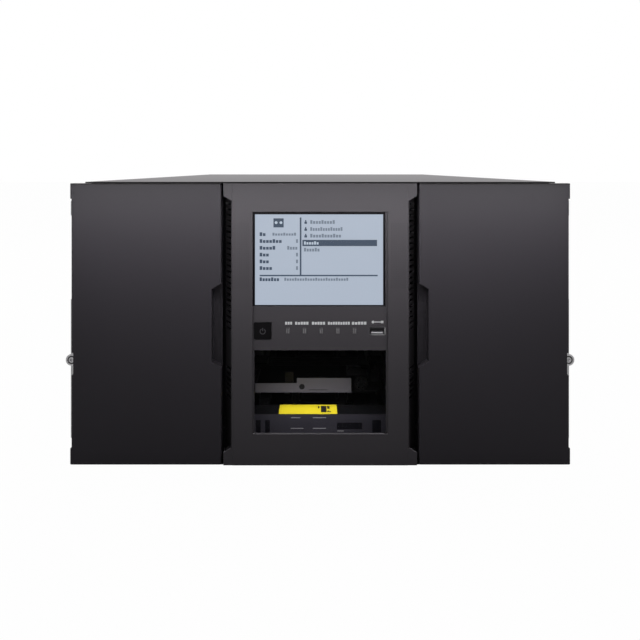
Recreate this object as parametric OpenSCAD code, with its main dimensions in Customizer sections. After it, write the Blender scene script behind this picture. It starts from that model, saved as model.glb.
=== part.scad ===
// Rack-mounted data tape library, six rack units high.
// X runs to the right seen from the front, Y runs to the back, Z runs up.
// Inside the modules Y = 0 is the doors' front face; placed() centres the depth.

/* [Chassis] */
// Width of the sheet metal body
body_w = 435; // [433:1:440]
// Height of the body, base to top of cover
body_h = 262.4; // [261:0.2:265]
// Length of the body behind the front rim
body_len = 817; // [800:1:860]
// Thickness of the body's sheet metal
sheet = 1.5; // [1.2:0.1:2]
// Thickness of the top cover's sheet
cover_t = 1.2; // [1:0.1:1.5]
// Width of the flanges folded in from the side panels
side_flange = 8; // [6:0.5:8.5]
// Thickness of the front rim plate and rack ears
rim_t = 2.5; // [2:0.1:3]

/* [Doors] */
// How far the front stands out past each side of the body
front_over = 14.5; // [13.5:0.1:15]
// How far the corner tabs stand out from the door's long edge
tab_out = 1.2; // [0.8:0.1:1.6]
// Height of each corner tab
tab_h = 14.2; // [12:0.2:16]
// Depth of the door's flanges
door_t = 16; // [14:0.5:16.4]
// Thickness of the door's skin and flanges
skin = 1.5; // [1.2:0.1:1.8]
// Height of the door's finger pocket between its slanted ends
pocket_h = 67; // [50:0.5:90]
// Width of the finger pocket
pocket_w = 9; // [7:0.5:9.5]
// Radius of the hinge pins
hinge_pin_r = 1.5; // [1.2:0.1:1.8]

/* [Fascia] */
// Width of the fascia between the finger channels
fascia_w = 164.8; // [160:0.2:168]
// Width of the fascia over its top and bottom ends
fascia_end_w = 179; // [177:0.5:181]
// Thickness of the fascia's walls
fascia_wall = 2.2; // [1.8:0.1:2.6]
// Width of the display's cut-out
display_w = 122.8; // [121:0.2:125]
// Height of the display's cut-out
display_h = 87.4; // [86:0.2:90]
// Width of the viewing window
window_w = 122; // [110:0.5:130]
// Height of the viewing window
window_h = 77; // [60:0.5:80]
// Width of the power button
button_w = 16; // [12:0.5:18]
// Travel of the power button
button_travel = 1.5; // [0.8:0.1:2]
// Number of status lights
led_count = 5; // [1:1:5]

/* [Magazines] */
// Width of a data cartridge
cart_w = 102; // [102:0.1:102.4]
// Play beside a cartridge in its slot
slot_play = 1; // [0.6:0.1:1.4]
// Thickness of the walls between columns
wall_t = 6; // [5:0.5:6.5]
// Columns of slots along the depth
columns = 4; // [3:1:4]
// Rows of slots
rows = 10; // [8:1:10]
// Height left over the top row of slots
slots_head = 5.2; // [4.8:0.1:5.4]
// Half width of the robot's aisle
aisle_half = 92; // [91.5:0.5:94]

/* [Robot] */
// Gear module of the racks and pinions
gear_module = 1.5; // [1.4:0.1:1.5]
// Teeth on each pinion
pinion_teeth = 12; // [12:1:12]
// Length of the picker's tray
tray_len = 138; // [130:1:140]
// Width of the picker's tray
tray_w = 110; // [108:0.5:112]
// Radius of the traverse rods
rod_r = 4; // [3:0.5:5]

/* [Rear] */
// Number of tape drives
drives = 6; // [4:1:6]
// Height left over the top drive
drives_head = 1; // [0.8:0.1:1.4]
// Size of the cooling fans
fan_size = 80; // [70:5:80]
// Width of a power supply
psu_w = 100; // [90:1:104]
// Height of a power supply
psu_h = 40; // [38:1:42]

/* [Hidden] */
$fn = 48;

eps = 0.01;               // overrun of a cutting shape past the face it cuts
over = 1;                 // longer overrun of a cut that passes right through
run_fit = 0.05;           // radial clearance of a shaft in its bore
slide_fit = 0.5;          // clearance round a part that slides in or out
body_x = body_w / 2;

// Stations along the depth, measured from the doors' front face.
mag_face_y = door_t + 2;
mag_face_t = 2.5;
rim_y = mag_face_y + mag_face_t + slide_fit;
rim_back = rim_y + rim_t;
body_back = rim_y + body_len;
fascia_proud = 1.2;
handle_reach = 23.8;      // power supply handles behind the rear panel
overall_len = fascia_proud + body_back + handle_reach;
mid_y = overall_len / 2 - fascia_proud;

// Doors
door_base = 0.7;
door_gap = 0.3;
tongue_t = 0.4;
tongue_y = 2;
tongue_over = 6;
cover_under = body_h - cover_t;
door_top = cover_under - door_gap;
door_h = door_top - door_base;
door_side_gap = 2.1;
front_w = body_w + 2 * front_over;
door_in = fascia_end_w / 2 + door_side_gap;
tab_x = front_w / 2;
door_out = tab_x - tab_out;
flange_y = 10.5;          // depth of the door's outer flange and corner blocks
corner_block_w = 15;
pocket_z = body_h / 2 - 1.9;
pocket_slant = 5.6;        // height of each slanted pocket end
pocket_y = 12;
pocket_wall = 2;
pocket_lip = 1.8;
hinge_x = door_out - 3.3;
hinge_y = 4.8;
lug_r = 2.8;
lug_t = 4;
lug_gap = 1.6;
lug_foot_t = 1.5;
lug_foot_w = 16;
screw_over = 15.05;
screw_x = body_x + screw_over;   // half the 465.1 hole spacing of a 19-inch rack
screw_z = 95.6;
ear_tip = 5;
screw_face_y = 7.6;
screw_flange_r = 5.4;
screw_flange_t = 1.4;
screw_collar_r = 4.4;
screw_r = 3;
screw_hole_r = 3.3;
screw_end = 12;           // length of the screw behind the ear
notch_z0 = 82.7;
notch_z1 = 104;
notch_x = door_out - 2.2;

// Fascia
fascia_x = fascia_w / 2;
fascia_end_x = fascia_end_w / 2;
fascia_z0 = 0.4;
fascia_z1 = cover_under - 0.2;
end_cap = 11.5;           // height of the full-width ends of the fascia
end_slant = 4.3;
fascia_front_t = 4;
fascia_in_y = fascia_front_t - fascia_proud;
fascia_round = 2;
slant_y = 18;             // depth at which the slanted walls reach their full width
end_step = 0.3;
inset_x = 62.7;
inset_depth = 2;
inset_rim = 0.1;
inset_face = inset_depth - fascia_proud;
display_back = 6;
lcd_y = 3.2;
face_k = body_h / 262.4;    // keeps the fascia's parts spread over its height
display_x = -1;
display_z = 190.9 * face_k;
lcd_z = 190.1 * face_k;
window_z = 67.8 * face_k;
control_z = 124.4 * face_k;
button_x = -53.2;
button_h = button_w - 0.6;
button_flange = 1.2;
led_pitch = 15.5;
led_x = 1;
led_w = 3.2;
led_h = 5.6;
usb_x = 53;
usb_w = 14.8;
usb_h = 7.3;
usb_wall = 0.6;
usb_depth = 12;
part_gap = 0.2;           // gap round parts set into the fascia
lcd_w = 119;
lcd_h = 84.2;
inset_z0 = window_z - window_h / 2 - inset_rim;
inset_z1 = display_z + display_h / 2 + inset_rim;
board_y = 8;
board_t = 1.6;
boss_r = 3;
boss_x = 72;
board_z0 = control_z - 12.4;
board_z1 = fascia_z1 - 11;
board_margin = 6;
vent_pitch = 5.3;
vents_high = 23;
vents_low = 6;
vent_z1 = fascia_z1 - 18;
vent_z0 = 63 * face_k;

// Magazines
mag_gap = 1;              // clearance between the magazine and the chassis
mag_x0 = aisle_half;
mag_x1 = body_x - side_flange - mag_gap;
mag_y0 = rim_y + 19;
col_inner = cart_w + 2 * slot_play;
col_pitch = col_inner + wall_t;
mag_y1 = mag_y0 + columns * col_pitch + wall_t;
row_z0 = 30;
row_pitch = (cover_under - slots_head - row_z0) / rows;
mag_plate = 3;
mag_roof = 2;
mag_top = row_z0 + rows * row_pitch;
mag_wall = 2;
mag_face_x0 = mag_x0 + 0.5;
mag_face_x1 = body_x + 4.5;
ledge_w = 6;
ledge_t = 0.9;
ledge_tip = 0.7;
ledge_end = 8;            // how far the ledges stop short of the outer wall
handle_x = (mag_x0 + mag_x1) / 2;
handle_z = body_h / 2 - 1.2;
handle_h = 110;
handle_w = 22;
handle_y = 4.5;
handle_t = 3;

// Front frame bars
bar_in = 80;
frame_low = 6;
frame_high = 9.2;
bar_out = mag_x0 - mag_gap;

// Robot
pitch_r = gear_module * pinion_teeth / 2;
tooth_pitch = PI * gear_module;
addendum = 0.8 * gear_module;
dedendum = 1.15 * gear_module;
lift_rack_x = 82.5;       // pitch line of the vertical racks
lift_rack_back = 87;
shaft_x = lift_rack_x - pitch_r;
shaft_z = 20;
shaft_r = 3;
rack_w = 8;
front_rack_y = rim_back + 1;
rear_beam_y0 = mag_y1 - 20;
rear_beam_y1 = mag_y1 + 4;
rear_rack_y = rear_beam_y1 + 5;
lift_travel = (rows - 1) * row_pitch;
col_mid = mag_y0 + wall_t + col_inner / 2;
car_z0 = 9;
car_top = 31.9;
car_x = 68;
beam_y0 = 46;
beam_y1 = 76;
rail_x0 = 56;
rail_x1 = 64;
rail_top = 21;
floor_t = 1.2;
ear_x0 = 66;
ear_x1 = 80;
rod_x = 26;
rod_z = 18;
rod_seat = 8;
picker_y = 170;
tray_z = 32.8;
tray_t = 1.8;
tray_top = tray_z + tray_t;
tray_wall = 3;
low_wall_z = 43.1;
tall_wall_z = 48.6;
hub_r = 6;
boss_round_r = 9.2;
base_z0 = 28;
base_z1 = 31.4;
base_half = 50;
base_front = -9.4;          // the base's front and back edges from the turning axis
base_back = 37;
block_x0 = 19;
block_x1 = 33;
tr_rack_x = -54;          // pitch line of the traverse rack
tr_rack_z1 = 27.5;
tr_pinion_x = tr_rack_x + pitch_r;
tr_pinion_dy = 24;
spindle_r = 2.5;
wheel_x = 45.5;
wheel_z = 41.9;
wheel_r = 7;
claw_x = 52;
claw_y = 6;
claw_pin_r = 1.5;
claw_z0 = 38.4;
claw_z1 = 45.6;
claw_len = 20;
grip_z0 = tray_top + 0.3;
grip_z1 = 47;
grip_half = 20;
grip_len = 12;
label_t = 0.5;

// Rear
bulkhead_y = mag_y1 + 4;
bay_x = 87;
bay_y0 = rear_rack_y - 2;
drive_y0 = rear_rack_y + rack_w + 20;
drive_z0 = 2.2;
drive_pitch = (cover_under - drive_z0 - drives_head) / drives;
sled_gap = 2;
sled_x = 84;
drive_x = 73;
sled_h = drive_pitch - sled_gap;
panel_y = body_back - sheet;
slot_w = 104;
slot_h = 22.6;
slot_depth = 105;
side_mid = (bay_x + body_x) / 2;   // middle of the rear compartments beside the drives
psu_z = 10;
psu_gap = 4;
psu_len = body_back - bulkhead_y - 46;
inlet_w = 27;
inlet_h = 20;
fan_z = cover_under - 83.2;
fan_t = 25;
fan_hub_r = 18;
card_z = 10;
card_h = 50;
card_w = 104;
card_len = 200;
edge_screw_z = 6;
side_screw_z = 30;
side_screw_y = 34;
ear_slot_z0 = 150;
ear_slot_z1 = 230;
rj_w = 11.8;
rj_h = 8.6;

function arc(cx, cy, r, a0, a1, n = 5) =
    [for (i = [0:n]) [cx + r * cos(a0 + (a1 - a0) * i / n), cy + r * sin(a0 + (a1 - a0) * i / n)]];

function round_rect(w, h, r) = concat(
    arc(w / 2 - r, h / 2 - r, r, 0, 90),
    arc(r - w / 2, h / 2 - r, r, 90, 180),
    arc(r - w / 2, r - h / 2, r, 180, 270),
    arc(w / 2 - r, r - h / 2, r, 270, 360));

function gear_points(teeth, m) = let (
    r = m * teeth / 2,
    half = 90 / teeth)
    [for (i = [0:teeth - 1])
        for (p = [[r - dedendum, -1.32], [r, -0.82], [r + addendum, -0.36],
            [r + addendum, 0.36], [r, 0.82], [r - dedendum, 1.32]])
            let (a = i * 360 / teeth + p[1] * half) [p[0] * cos(a), p[0] * sin(a)]];

function rack_points(n, back) = concat(
    [[back, -tooth_pitch / 2], [back, (n - 0.5) * tooth_pitch]],
    [for (j = [0:n - 1])
        for (p = [[-dedendum, 0.33], [addendum, 0.11], [addendum, -0.11], [-dedendum, -0.33]])
            [p[0], (n - 1 - j + p[1]) * tooth_pitch]]);

module placed() {
    translate([0, -mid_y, 0])
        children();
}

module on_side(s) {
    mirror([s < 0 ? 1 : 0, 0, 0])
        children();
}

module box(x0, x1, y0, y1, z0, z1) {
    translate([x0, y0, z0])
        cube([x1 - x0, y1 - y0, z1 - z0]);
}

// A prism whose outline lies in the XZ plane, running back from y0 to y1.
module along_y(y0, y1) {
    translate([0, y1, 0])
        rotate([90, 0, 0])
            linear_extrude(y1 - y0)
                children();
}

module rod_y(x, z, r, y0, y1) {
    translate([x, y0, z])
        rotate([-90, 0, 0])
            cylinder(r = r, h = y1 - y0);
}

module rod_z(x, y, r, z0, z1) {
    translate([x, y, z0])
        cylinder(r = r, h = z1 - z0);
}

// ---------------------------------------------------------------- chassis

module bottom_pan() {
    bead_w = 8;
    color("silver")
        placed() {
            box(-body_x, body_x, rim_y, body_back, 0, sheet);
            box(-door_in - tongue_over, door_in + tongue_over, tongue_y, rim_y + eps, 0, tongue_t);
            for (x = [-50, 0, 50])
                box(x - bead_w / 2, x + bead_w / 2, beam_y1, drive_y0 - bead_w, sheet - eps, 2 * sheet);
        }
}

module side_panel() {
    slots = 9;
    slot_rows = 3;
    slot_pitch = 9;
    slot_z = 60;
    slot_high = 40;
    slot_wide = 4;
    slot_y = body_back - 50 - slots * slot_pitch;
    difference() {
        union() {
            box(body_x - sheet, body_x, rim_back, panel_y, sheet, cover_under);
            for (z = [sheet, cover_under - sheet])
                box(body_x - side_flange, body_x - sheet + eps, rim_back, panel_y, z, z + sheet);
        }
        for (i = [0:slots - 1], row = [0:slot_rows - 1])
            translate([0, slot_y + i * slot_pitch, slot_z + row * (slot_high + 12)])
                box(body_x - sheet - over, body_x + over, 0, slot_wide, 0, slot_high);
    }
}

module left_side_panel() {
    color("silver")
        placed()
            on_side(-1)
                side_panel();
}

module right_side_panel() {
    color("silver")
        placed()
            side_panel();
}

module top_cover() {
    color("silver")
        placed()
            box(-body_x, body_x, 0.5, body_back, cover_under, body_h);
}

module front_frame() {
    low_bar = row_z0 - mag_plate - mag_gap;
    top_bar = mag_top + mag_roof + mag_gap;
    color("dimgray")
        placed()
            difference() {
                box(-body_x, body_x, rim_y, rim_back, sheet, cover_under);
                for (s = [-1, 1])
                    on_side(s)
                        box(bar_out, mag_x1 + mag_gap, rim_y - over, rim_back + over,
                            low_bar, top_bar);
                box(-bar_in, bar_in, rim_y - over, rim_back + over, frame_low, cover_under - frame_high);
            }
}

module rear_panel() {
    color("silver")
        placed()
            difference() {
                box(-body_x + sheet, body_x - sheet, panel_y, body_back, sheet, cover_under);
                box(-sled_x - sled_gap, sled_x + sled_gap, panel_y - over, body_back + over,
                    drive_z0, drive_z0 + drives * drive_pitch - sled_gap / 2);
                for (i = [0, 1])
                    box(side_mid - psu_w / 2 - slide_fit, side_mid + psu_w / 2 + slide_fit,
                        panel_y - over, body_back + over,
                        psu_z + i * (psu_h + psu_gap) - slide_fit,
                        psu_z + i * (psu_h + psu_gap) + psu_h + slide_fit);
                box(-side_mid - card_w / 2 - slide_fit, -side_mid + card_w / 2 + slide_fit,
                    panel_y - over, body_back + over,
                    card_z - slide_fit, card_z + card_h + slide_fit);
                for (s = [-1, 1])
                    guard_cuts(s * side_mid, fan_z);
                for (s = [-1, 1], i = [-5:5])
                    box(s * side_mid + i * 9 - 2, s * side_mid + i * 9 + 2,
                        panel_y - over, body_back + over, cover_under - 29.2, cover_under - 11.2);
                for (i = [-5:5])
                    box(-side_mid + i * 9 - 2, -side_mid + i * 9 + 2, panel_y - over,
                        body_back + over, card_z + card_h + 20, fan_z - fan_size / 2 - 20);
            }
}

// The ring-shaped cuts of a finger guard, broken by a cross of four arms.
module guard_cuts(x, z) {
    arm = 3;
    ring_pitch = 7;
    ring_gap = 4.6;
    difference() {
        for (r = [12:ring_pitch:fan_size / 2 - ring_gap])
            difference() {
                rod_y(x, z, r + ring_gap, panel_y - over, body_back + over);
                rod_y(x, z, r, panel_y - 2 * over, body_back + 2 * over);
            }
        for (a = [45, -45])
            translate([x, 0, z])
                rotate([0, a, 0])
                    box(-fan_size, fan_size, panel_y - 3 * over, body_back + 3 * over,
                        -arm / 2, arm / 2);
    }
}

module mid_bulkhead() {
    color("silver")
        placed()
            for (s = [-1, 1])
                on_side(s)
                    difference() {
                        box(lift_rack_back + sheet, body_x - sheet - 0.1, bulkhead_y,
                            bulkhead_y + sheet, 2 * sheet + 0.1, cover_under - sheet - 0.1);
                        for (z = [0.23 * body_h, 0.5 * body_h, 0.77 * body_h])
                            box(side_mid - 30, side_mid + 30, bulkhead_y - over,
                                bulkhead_y + sheet + over, z - 12, z + 12);
                    }
}

module magazine_guides() {
    guide_w = 10;
    guide_top = row_z0 - mag_plate - 0.3;
    color("gainsboro")
        placed()
            for (s = [-1, 1])
                on_side(s)
                    for (x = [mag_x0 + 4, mag_x1 - 4 - guide_w])
                        difference() {
                            box(x, x + guide_w, rim_back, bulkhead_y, sheet, guide_top);
                            box(x + 2, x + guide_w - 2, rim_back - over, bulkhead_y + over,
                                sheet + 4, guide_top - 4);
                        }
}

// ----------------------------------------------------------- fascia parts

// The chamfered end of the fascia, seen from the front; it stands on its wide edge.
module fascia_end_outline() {
    polygon([
        [-fascia_end_x, 0], [fascia_end_x, 0], [fascia_end_x, end_cap],
        [fascia_x, end_cap + end_slant], [-fascia_x, end_cap + end_slant], [-fascia_end_x, end_cap]]);
}

// The plan of the fascia: rounded front edges and side walls that slant outwards.
function fascia_plan(in) = concat(
    [[fascia_end_x - in, rim_y + in], [in - fascia_end_x, rim_y + in], [in - fascia_end_x, slant_y]],
    in > 0 ? [[in - fascia_x, fascia_in_y]] : arc(fascia_round - fascia_x, fascia_round - fascia_proud,
        fascia_round, 180, 270),
    in > 0 ? [[fascia_x - in, fascia_in_y]] : arc(fascia_x - fascia_round, fascia_round - fascia_proud,
        fascia_round, 270, 360),
    [[fascia_end_x - in, slant_y]]);

module fascia_bezel() {
    lip_h = fascia_wall;
    color([0.2, 0.2, 0.21])
        placed() {
            difference() {
                union() {
                    translate([0, 0, fascia_z0])
                        linear_extrude(fascia_z1 - fascia_z0)
                            polygon(fascia_plan(0));
                    along_y(end_step - fascia_proud, rim_y)
                        translate([0, fascia_z0])
                            fascia_end_outline();
                    along_y(end_step - fascia_proud, rim_y)
                        translate([0, fascia_z1])
                            mirror([0, 1])
                                fascia_end_outline();
                }
                translate([0, 0, fascia_z0 + lip_h])
                    linear_extrude(fascia_z1 - fascia_z0 - 2 * lip_h)
                        polygon(fascia_plan(fascia_wall));
                box(-inset_x, inset_x, -over - fascia_proud, inset_depth - fascia_proud,
                    inset_z0, inset_z1);
                box(display_x - display_w / 2, display_x + display_w / 2, -over - fascia_proud, rim_y,
                    display_z - display_h / 2, display_z + display_h / 2);
                box(-window_w / 2, window_w / 2, -over - fascia_proud, rim_y,
                    window_z - window_h / 2, window_z + window_h / 2);
                box(button_x - button_w / 2 - part_gap, button_x + button_w / 2 + part_gap,
                    -over - fascia_proud, rim_y,
                    control_z - button_h / 2 - part_gap, control_z + button_h / 2 + part_gap);
                for (i = [0:led_count - 1])
                    led_box(i, part_gap / 2, -over - fascia_proud, rim_y);
                box(usb_x - usb_w / 2 - part_gap, usb_x + usb_w / 2 + part_gap,
                    -over - fascia_proud, rim_y,
                    control_z - usb_h / 2 - part_gap, control_z + usb_h / 2 + part_gap);
                channel_vents();
            }
            for (x = [-boss_x, boss_x], z = [board_z0 + board_margin, board_z1 - board_margin])
                rod_y(x, z, boss_r, fascia_in_y - eps, board_y);
        }
}

// Slots through the slanted wall of each finger channel.
module channel_vents() {
    slot_high = 2.7;
    front = 1.8;
    back = 1.5;
    for (s = [-1, 1])
        on_side(s)
            for (z = concat([for (i = [0:vents_high - 1]) vent_z1 - i * vent_pitch],
                [for (i = [0:vents_low - 1]) vent_z0 + i * vent_pitch]))
                box(fascia_x - 2 * fascia_wall, fascia_end_x + over, front, slant_y - back,
                    z - slot_high, z);
}

module led_box(i, gap, y0, y1) {
    x = led_x + (i - (led_count - 1) / 2) * led_pitch;
    box(x - led_w / 2 - gap, x + led_w / 2 + gap, y0, y1,
        control_z - led_h / 2 - gap, control_z + led_h / 2 + gap);
}

module display_frame() {
    w = display_w / 2 - part_gap;
    h = display_h / 2 - part_gap;
    x = lcd_w / 2;
    z = lcd_h / 2;
    lap = 2;
    seat = 3.4;
    color([0.05, 0.05, 0.06])
        placed()
            translate([display_x, 0, 0])
                difference() {
                    union() {
                        box(-w, w, inset_face + 0.3, display_back, display_z - h, display_z + h);
                        box(-w - lap, w + lap, fascia_in_y + 0.1, display_back,
                            display_z - h - lap, display_z + h + lap);
                    }
                    box(-x, x, -over - fascia_proud, seat, lcd_z - z, lcd_z + z);
                    box(-x - 0.8, x + 0.8, seat - 0.4, display_back + over, lcd_z - z - 0.6, lcd_z + z + 0.6);
                }
}

module lcd_panel() {
    color([0.7, 0.75, 0.8])
        placed()
            box(display_x - lcd_w / 2 - 0.6, display_x + lcd_w / 2 + 0.6, lcd_y, display_back,
                lcd_z - lcd_h / 2 - 0.4, lcd_z + lcd_h / 2 + 0.4);
}

module display_glass() {
    color([0.8, 0.9, 0.95, 0.3])
        placed()
            box(display_x - lcd_w / 2 + 0.1, display_x + lcd_w / 2 - 0.1, lcd_y - 1.6, lcd_y - 0.4,
                lcd_z - lcd_h / 2 + 0.1, lcd_z + lcd_h / 2 - 0.1);
}

module window_pane() {
    lap = 4;
    color([0.8, 0.9, 0.95, 0.3])
        placed()
            box(-window_w / 2 - lap, window_w / 2 + lap, fascia_in_y, fascia_in_y + 2,
                window_z - window_h / 2 - lap, window_z + window_h / 2 + lap);
}

module power_button() {
    cap_y = inset_face - 0.6;
    stem = 5;
    color([0.04, 0.04, 0.05])
        placed() {
            along_y(cap_y, fascia_in_y + 0.8)
                translate([button_x, control_z])
                    polygon(round_rect(button_w, button_h, 1));
            box(button_x - button_w / 2 - button_flange, button_x + button_w / 2 + button_flange,
                fascia_in_y + 0.6, fascia_in_y + 1.8,
                control_z - button_h / 2 - button_flange, control_z + button_h / 2 + button_flange);
            box(button_x - stem / 2, button_x + stem / 2, fascia_in_y + 1.8 - eps,
                board_y - 0.8 - button_travel, control_z - stem / 2, control_z + stem / 2);
        }
}

module led_light_pipes() {
    color([0.6, 0.6, 0.6])
        placed()
            for (i = [0:led_count - 1])
                led_box(i, 0, inset_face, board_y - 0.5);
}

module usb_port() {
    tongue = 1.9;
    tongue_gap = 1.2;
    color("silver")
        placed()
            difference() {
                box(usb_x - usb_w / 2, usb_x + usb_w / 2, inset_face, board_y,
                    control_z - usb_h / 2, control_z + usb_h / 2);
                difference() {
                    box(usb_x - usb_w / 2 + usb_wall, usb_x + usb_w / 2 - usb_wall, -over - fascia_proud,
                        board_y - 1, control_z - usb_h / 2 + usb_wall, control_z + usb_h / 2 - usb_wall);
                    box(usb_x - usb_w / 2 + usb_wall + tongue_gap,
                        usb_x + usb_w / 2 - usb_wall - tongue_gap, 2, board_y,
                        control_z - 0.4 - tongue, control_z - 0.4);
                }
            }
}

module front_control_board() {
    chip = 12;
    color([0.05, 0.3, 0.12])
        placed() {
            box(-boss_x - boss_r, boss_x + boss_r, board_y, board_y + board_t, board_z0, board_z1);
            box(button_x - 4, button_x + 4, board_y - 0.7, board_y + eps, control_z - 4, control_z + 4);
            for (x = [-40, -10, 25], z = [board_z0 + 38, board_z0 + 83])
                box(x, x + chip, board_y + board_t - eps, board_y + board_t + 2, z, z + chip);
            box(-30, 30, board_y + board_t - eps, board_y + board_t + 4, board_z1 - 24, board_z1 - 16);
        }
}

// ------------------------------------------------------------------ doors

function door_plan() = concat(
    [[door_in, door_t], [door_in, 1.5]],
    arc(door_in + 1.5, 1.5, 1.5, 180, 270, 3),
    arc(door_out - 2.5, 2.5, 2.5, 270, 360, 4),
    [[door_out, flange_y], [door_out - corner_block_w, flange_y],
    [door_out - corner_block_w, door_t]]);

module door() {
    pocket_x = door_in + pocket_w;
    pocket_half = pocket_h / 2;
    block_x = tab_x - corner_block_w;
    difference() {
        union() {
            difference() {
                translate([0, 0, door_base])
                    linear_extrude(door_h)
                        polygon(door_plan());
                box(door_in + 2, door_out - skin, skin, door_t + over,
                    door_base + skin, door_top - skin);
            }
            for (z = [door_base, door_top - tab_h])
                translate([0, 0, z])
                    linear_extrude(tab_h)
                        polygon(concat([[block_x, 0.5], [block_x, flange_y], [tab_x, flange_y]],
                            [[tab_x, 2.5]], arc(tab_x - 2.5, 2.5, 2.5, 0, -90, 4)));
            box(door_in + pocket_lip, pocket_x + pocket_wall, skin - eps, pocket_y + pocket_wall,
                pocket_z - pocket_half - pocket_slant - pocket_wall,
                pocket_z + pocket_half + pocket_slant + pocket_wall);
            for (z = [0.2 * door_h, 0.77 * door_h, 0.87 * door_h])
                box(door_in + 1, block_x, skin - eps, skin + 4, z, z + skin);
        }
        along_y(-over, pocket_y)
            polygon([
                [door_in - over, pocket_z - pocket_half - pocket_slant],
                [door_in, pocket_z - pocket_half - pocket_slant],
                [pocket_x, pocket_z - pocket_half], [pocket_x, pocket_z + pocket_half],
                [door_in, pocket_z + pocket_half + pocket_slant],
                [door_in - over, pocket_z + pocket_half + pocket_slant]]);
        box(notch_x, tab_x + over, -over, door_t, notch_z0, notch_z1);
        for (z = [door_base + tab_h, door_top - tab_h - lug_t - 2 * lug_gap])
            box(hinge_x - lug_r, tab_x + over, skin, door_t, z, z + lug_t + 2 * lug_gap);
        rod_z(hinge_x, hinge_y, hinge_pin_r + run_fit, door_base + 2, door_base + tab_h + eps);
        rod_z(hinge_x, hinge_y, hinge_pin_r + run_fit, door_top - tab_h - eps, door_top - 2);
    }
}

module left_door() {
    color([0.13, 0.13, 0.14])
        placed()
            on_side(-1)
                door();
}

module right_door() {
    color([0.13, 0.13, 0.14])
        placed()
            door();
}

// The lower hinge bracket: foot plate, arm, and a pin that points down into the corner block.
module hinge_bracket() {
    z0 = door_base + tab_h + lug_gap;
    foot_x = hinge_x - lug_foot_w - 6;
    foot_y = mag_face_y - lug_foot_t;
    box(foot_x, foot_x + lug_foot_w, foot_y, mag_face_y, z0 - 2, z0 + lug_t + 10);
    rod_z(hinge_x, hinge_y, lug_r, z0, z0 + lug_t);
    translate([0, 0, z0])
        linear_extrude(lug_t)
            polygon([[hinge_x - lug_r + 0.1, hinge_y - 0.6], [hinge_x + 0.8, hinge_y + lug_r - 0.2],
                [hinge_x - 9, foot_y + eps], [foot_x + 3, foot_y + eps]]);
    rod_z(hinge_x, hinge_y, hinge_pin_r, door_base + 3.5, z0 + eps);
}

module hinge_brackets() {
    hinge_bracket();
    translate([0, 0, door_base + door_top])
        mirror([0, 0, 1])
            hinge_bracket();
}

module left_hinge_brackets() {
    color("dimgray")
        placed()
            on_side(-1)
                hinge_brackets();
}

module right_hinge_brackets() {
    color("dimgray")
        placed()
            hinge_brackets();
}

// ------------------------------------------------------------- rack fixing

module rack_ears() {
    ear_x = screw_x + ear_tip;
    ear_z0 = 18;
    ear_z1 = 244;
    flange_t = 2;
    flange_len = 50;
    color("silver")
        placed()
            for (s = [-1, 1])
                on_side(s)
                    difference() {
                        union() {
                            box(body_x, ear_x, rim_y, rim_back, ear_z0, ear_z1);
                            box(body_x, body_x + flange_t, rim_y, rim_y + flange_len, ear_z0, ear_z1);
                        }
                        rod_y(screw_x, screw_z, screw_hole_r, rim_y - over, rim_back + over);
                        box(screw_x - 1, ear_x + over, rim_y - over, rim_back + over, ear_slot_z0, ear_slot_z1);
                    }
}

module rack_screws() {
    groove_r = 3.9;
    core_r = 2.6;
    groove_t = 1.2;
    socket_r = 1.7;
    neck_r = 2.4;              // the captive screw's neck, loose in the ear's hole
    neck_end = 1;
    color("lightgray")
        placed()
            for (s = [-1, 1])
                on_side(s)
                    difference() {
                        union() {
                            rod_y(screw_x, screw_z, screw_flange_r, screw_face_y,
                                screw_face_y + screw_flange_t);
                            rod_y(screw_x, screw_z, screw_collar_r,
                                screw_face_y + screw_flange_t - eps, rim_y);
                            rod_y(screw_x, screw_z, neck_r, rim_y - eps, rim_back + neck_end + eps);
                            rod_y(screw_x, screw_z, screw_r, rim_back + neck_end, rim_back + screw_end);
                        }
                        difference() {
                            rod_y(screw_x, screw_z, groove_r, screw_face_y - over, screw_face_y + groove_t);
                            rod_y(screw_x, screw_z, core_r, screw_face_y - 2 * over,
                                screw_face_y + 2 * groove_t);
                        }
                        translate([screw_x, screw_face_y - over, screw_z])
                            rotate([-90, 0, 0])
                                cylinder(r = socket_r, h = over + 2.5, $fn = 6);
                    }
}

// -------------------------------------------------------------- magazines

module magazine_frame() {
    box(mag_face_x0, mag_face_x1, mag_face_y, mag_face_y + mag_face_t, door_base + 1.5, door_top - 0.5);
    box(mag_x0, mag_x1, mag_face_y + mag_face_t - eps, mag_y1, row_z0 - mag_plate, row_z0);
    box(mag_x0, mag_x1, mag_face_y + mag_face_t - eps, mag_y1, mag_top, mag_top + mag_roof);
    box(mag_x1 - mag_wall, mag_x1, mag_face_y + mag_face_t - eps, mag_y1, row_z0 - eps, mag_top + eps);
}

module ledge(y, side, z) {
    translate([mag_x0 + 0.5, y, z])
        rotate([90, 0, 90])
            linear_extrude(mag_x1 - mag_wall - ledge_end - mag_x0 - 0.5)
                polygon([[-side * eps, -ledge_t], [side * ledge_w, -ledge_tip],
                    [side * ledge_w, 0], [-side * eps, 0]]);
}

module slot_walls() {
    for (i = [0:columns]) {
        y = mag_y0 + i * col_pitch;
        box(mag_x0 + 0.5, mag_x1 - mag_wall, y, y + wall_t, row_z0, mag_top);
        for (k = [1:rows - 1]) {
            if (i > 0)
                ledge(y, -1, row_z0 + k * row_pitch);
            if (i < columns)
                ledge(y + wall_t, 1, row_z0 + k * row_pitch);
        }
    }
}

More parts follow.
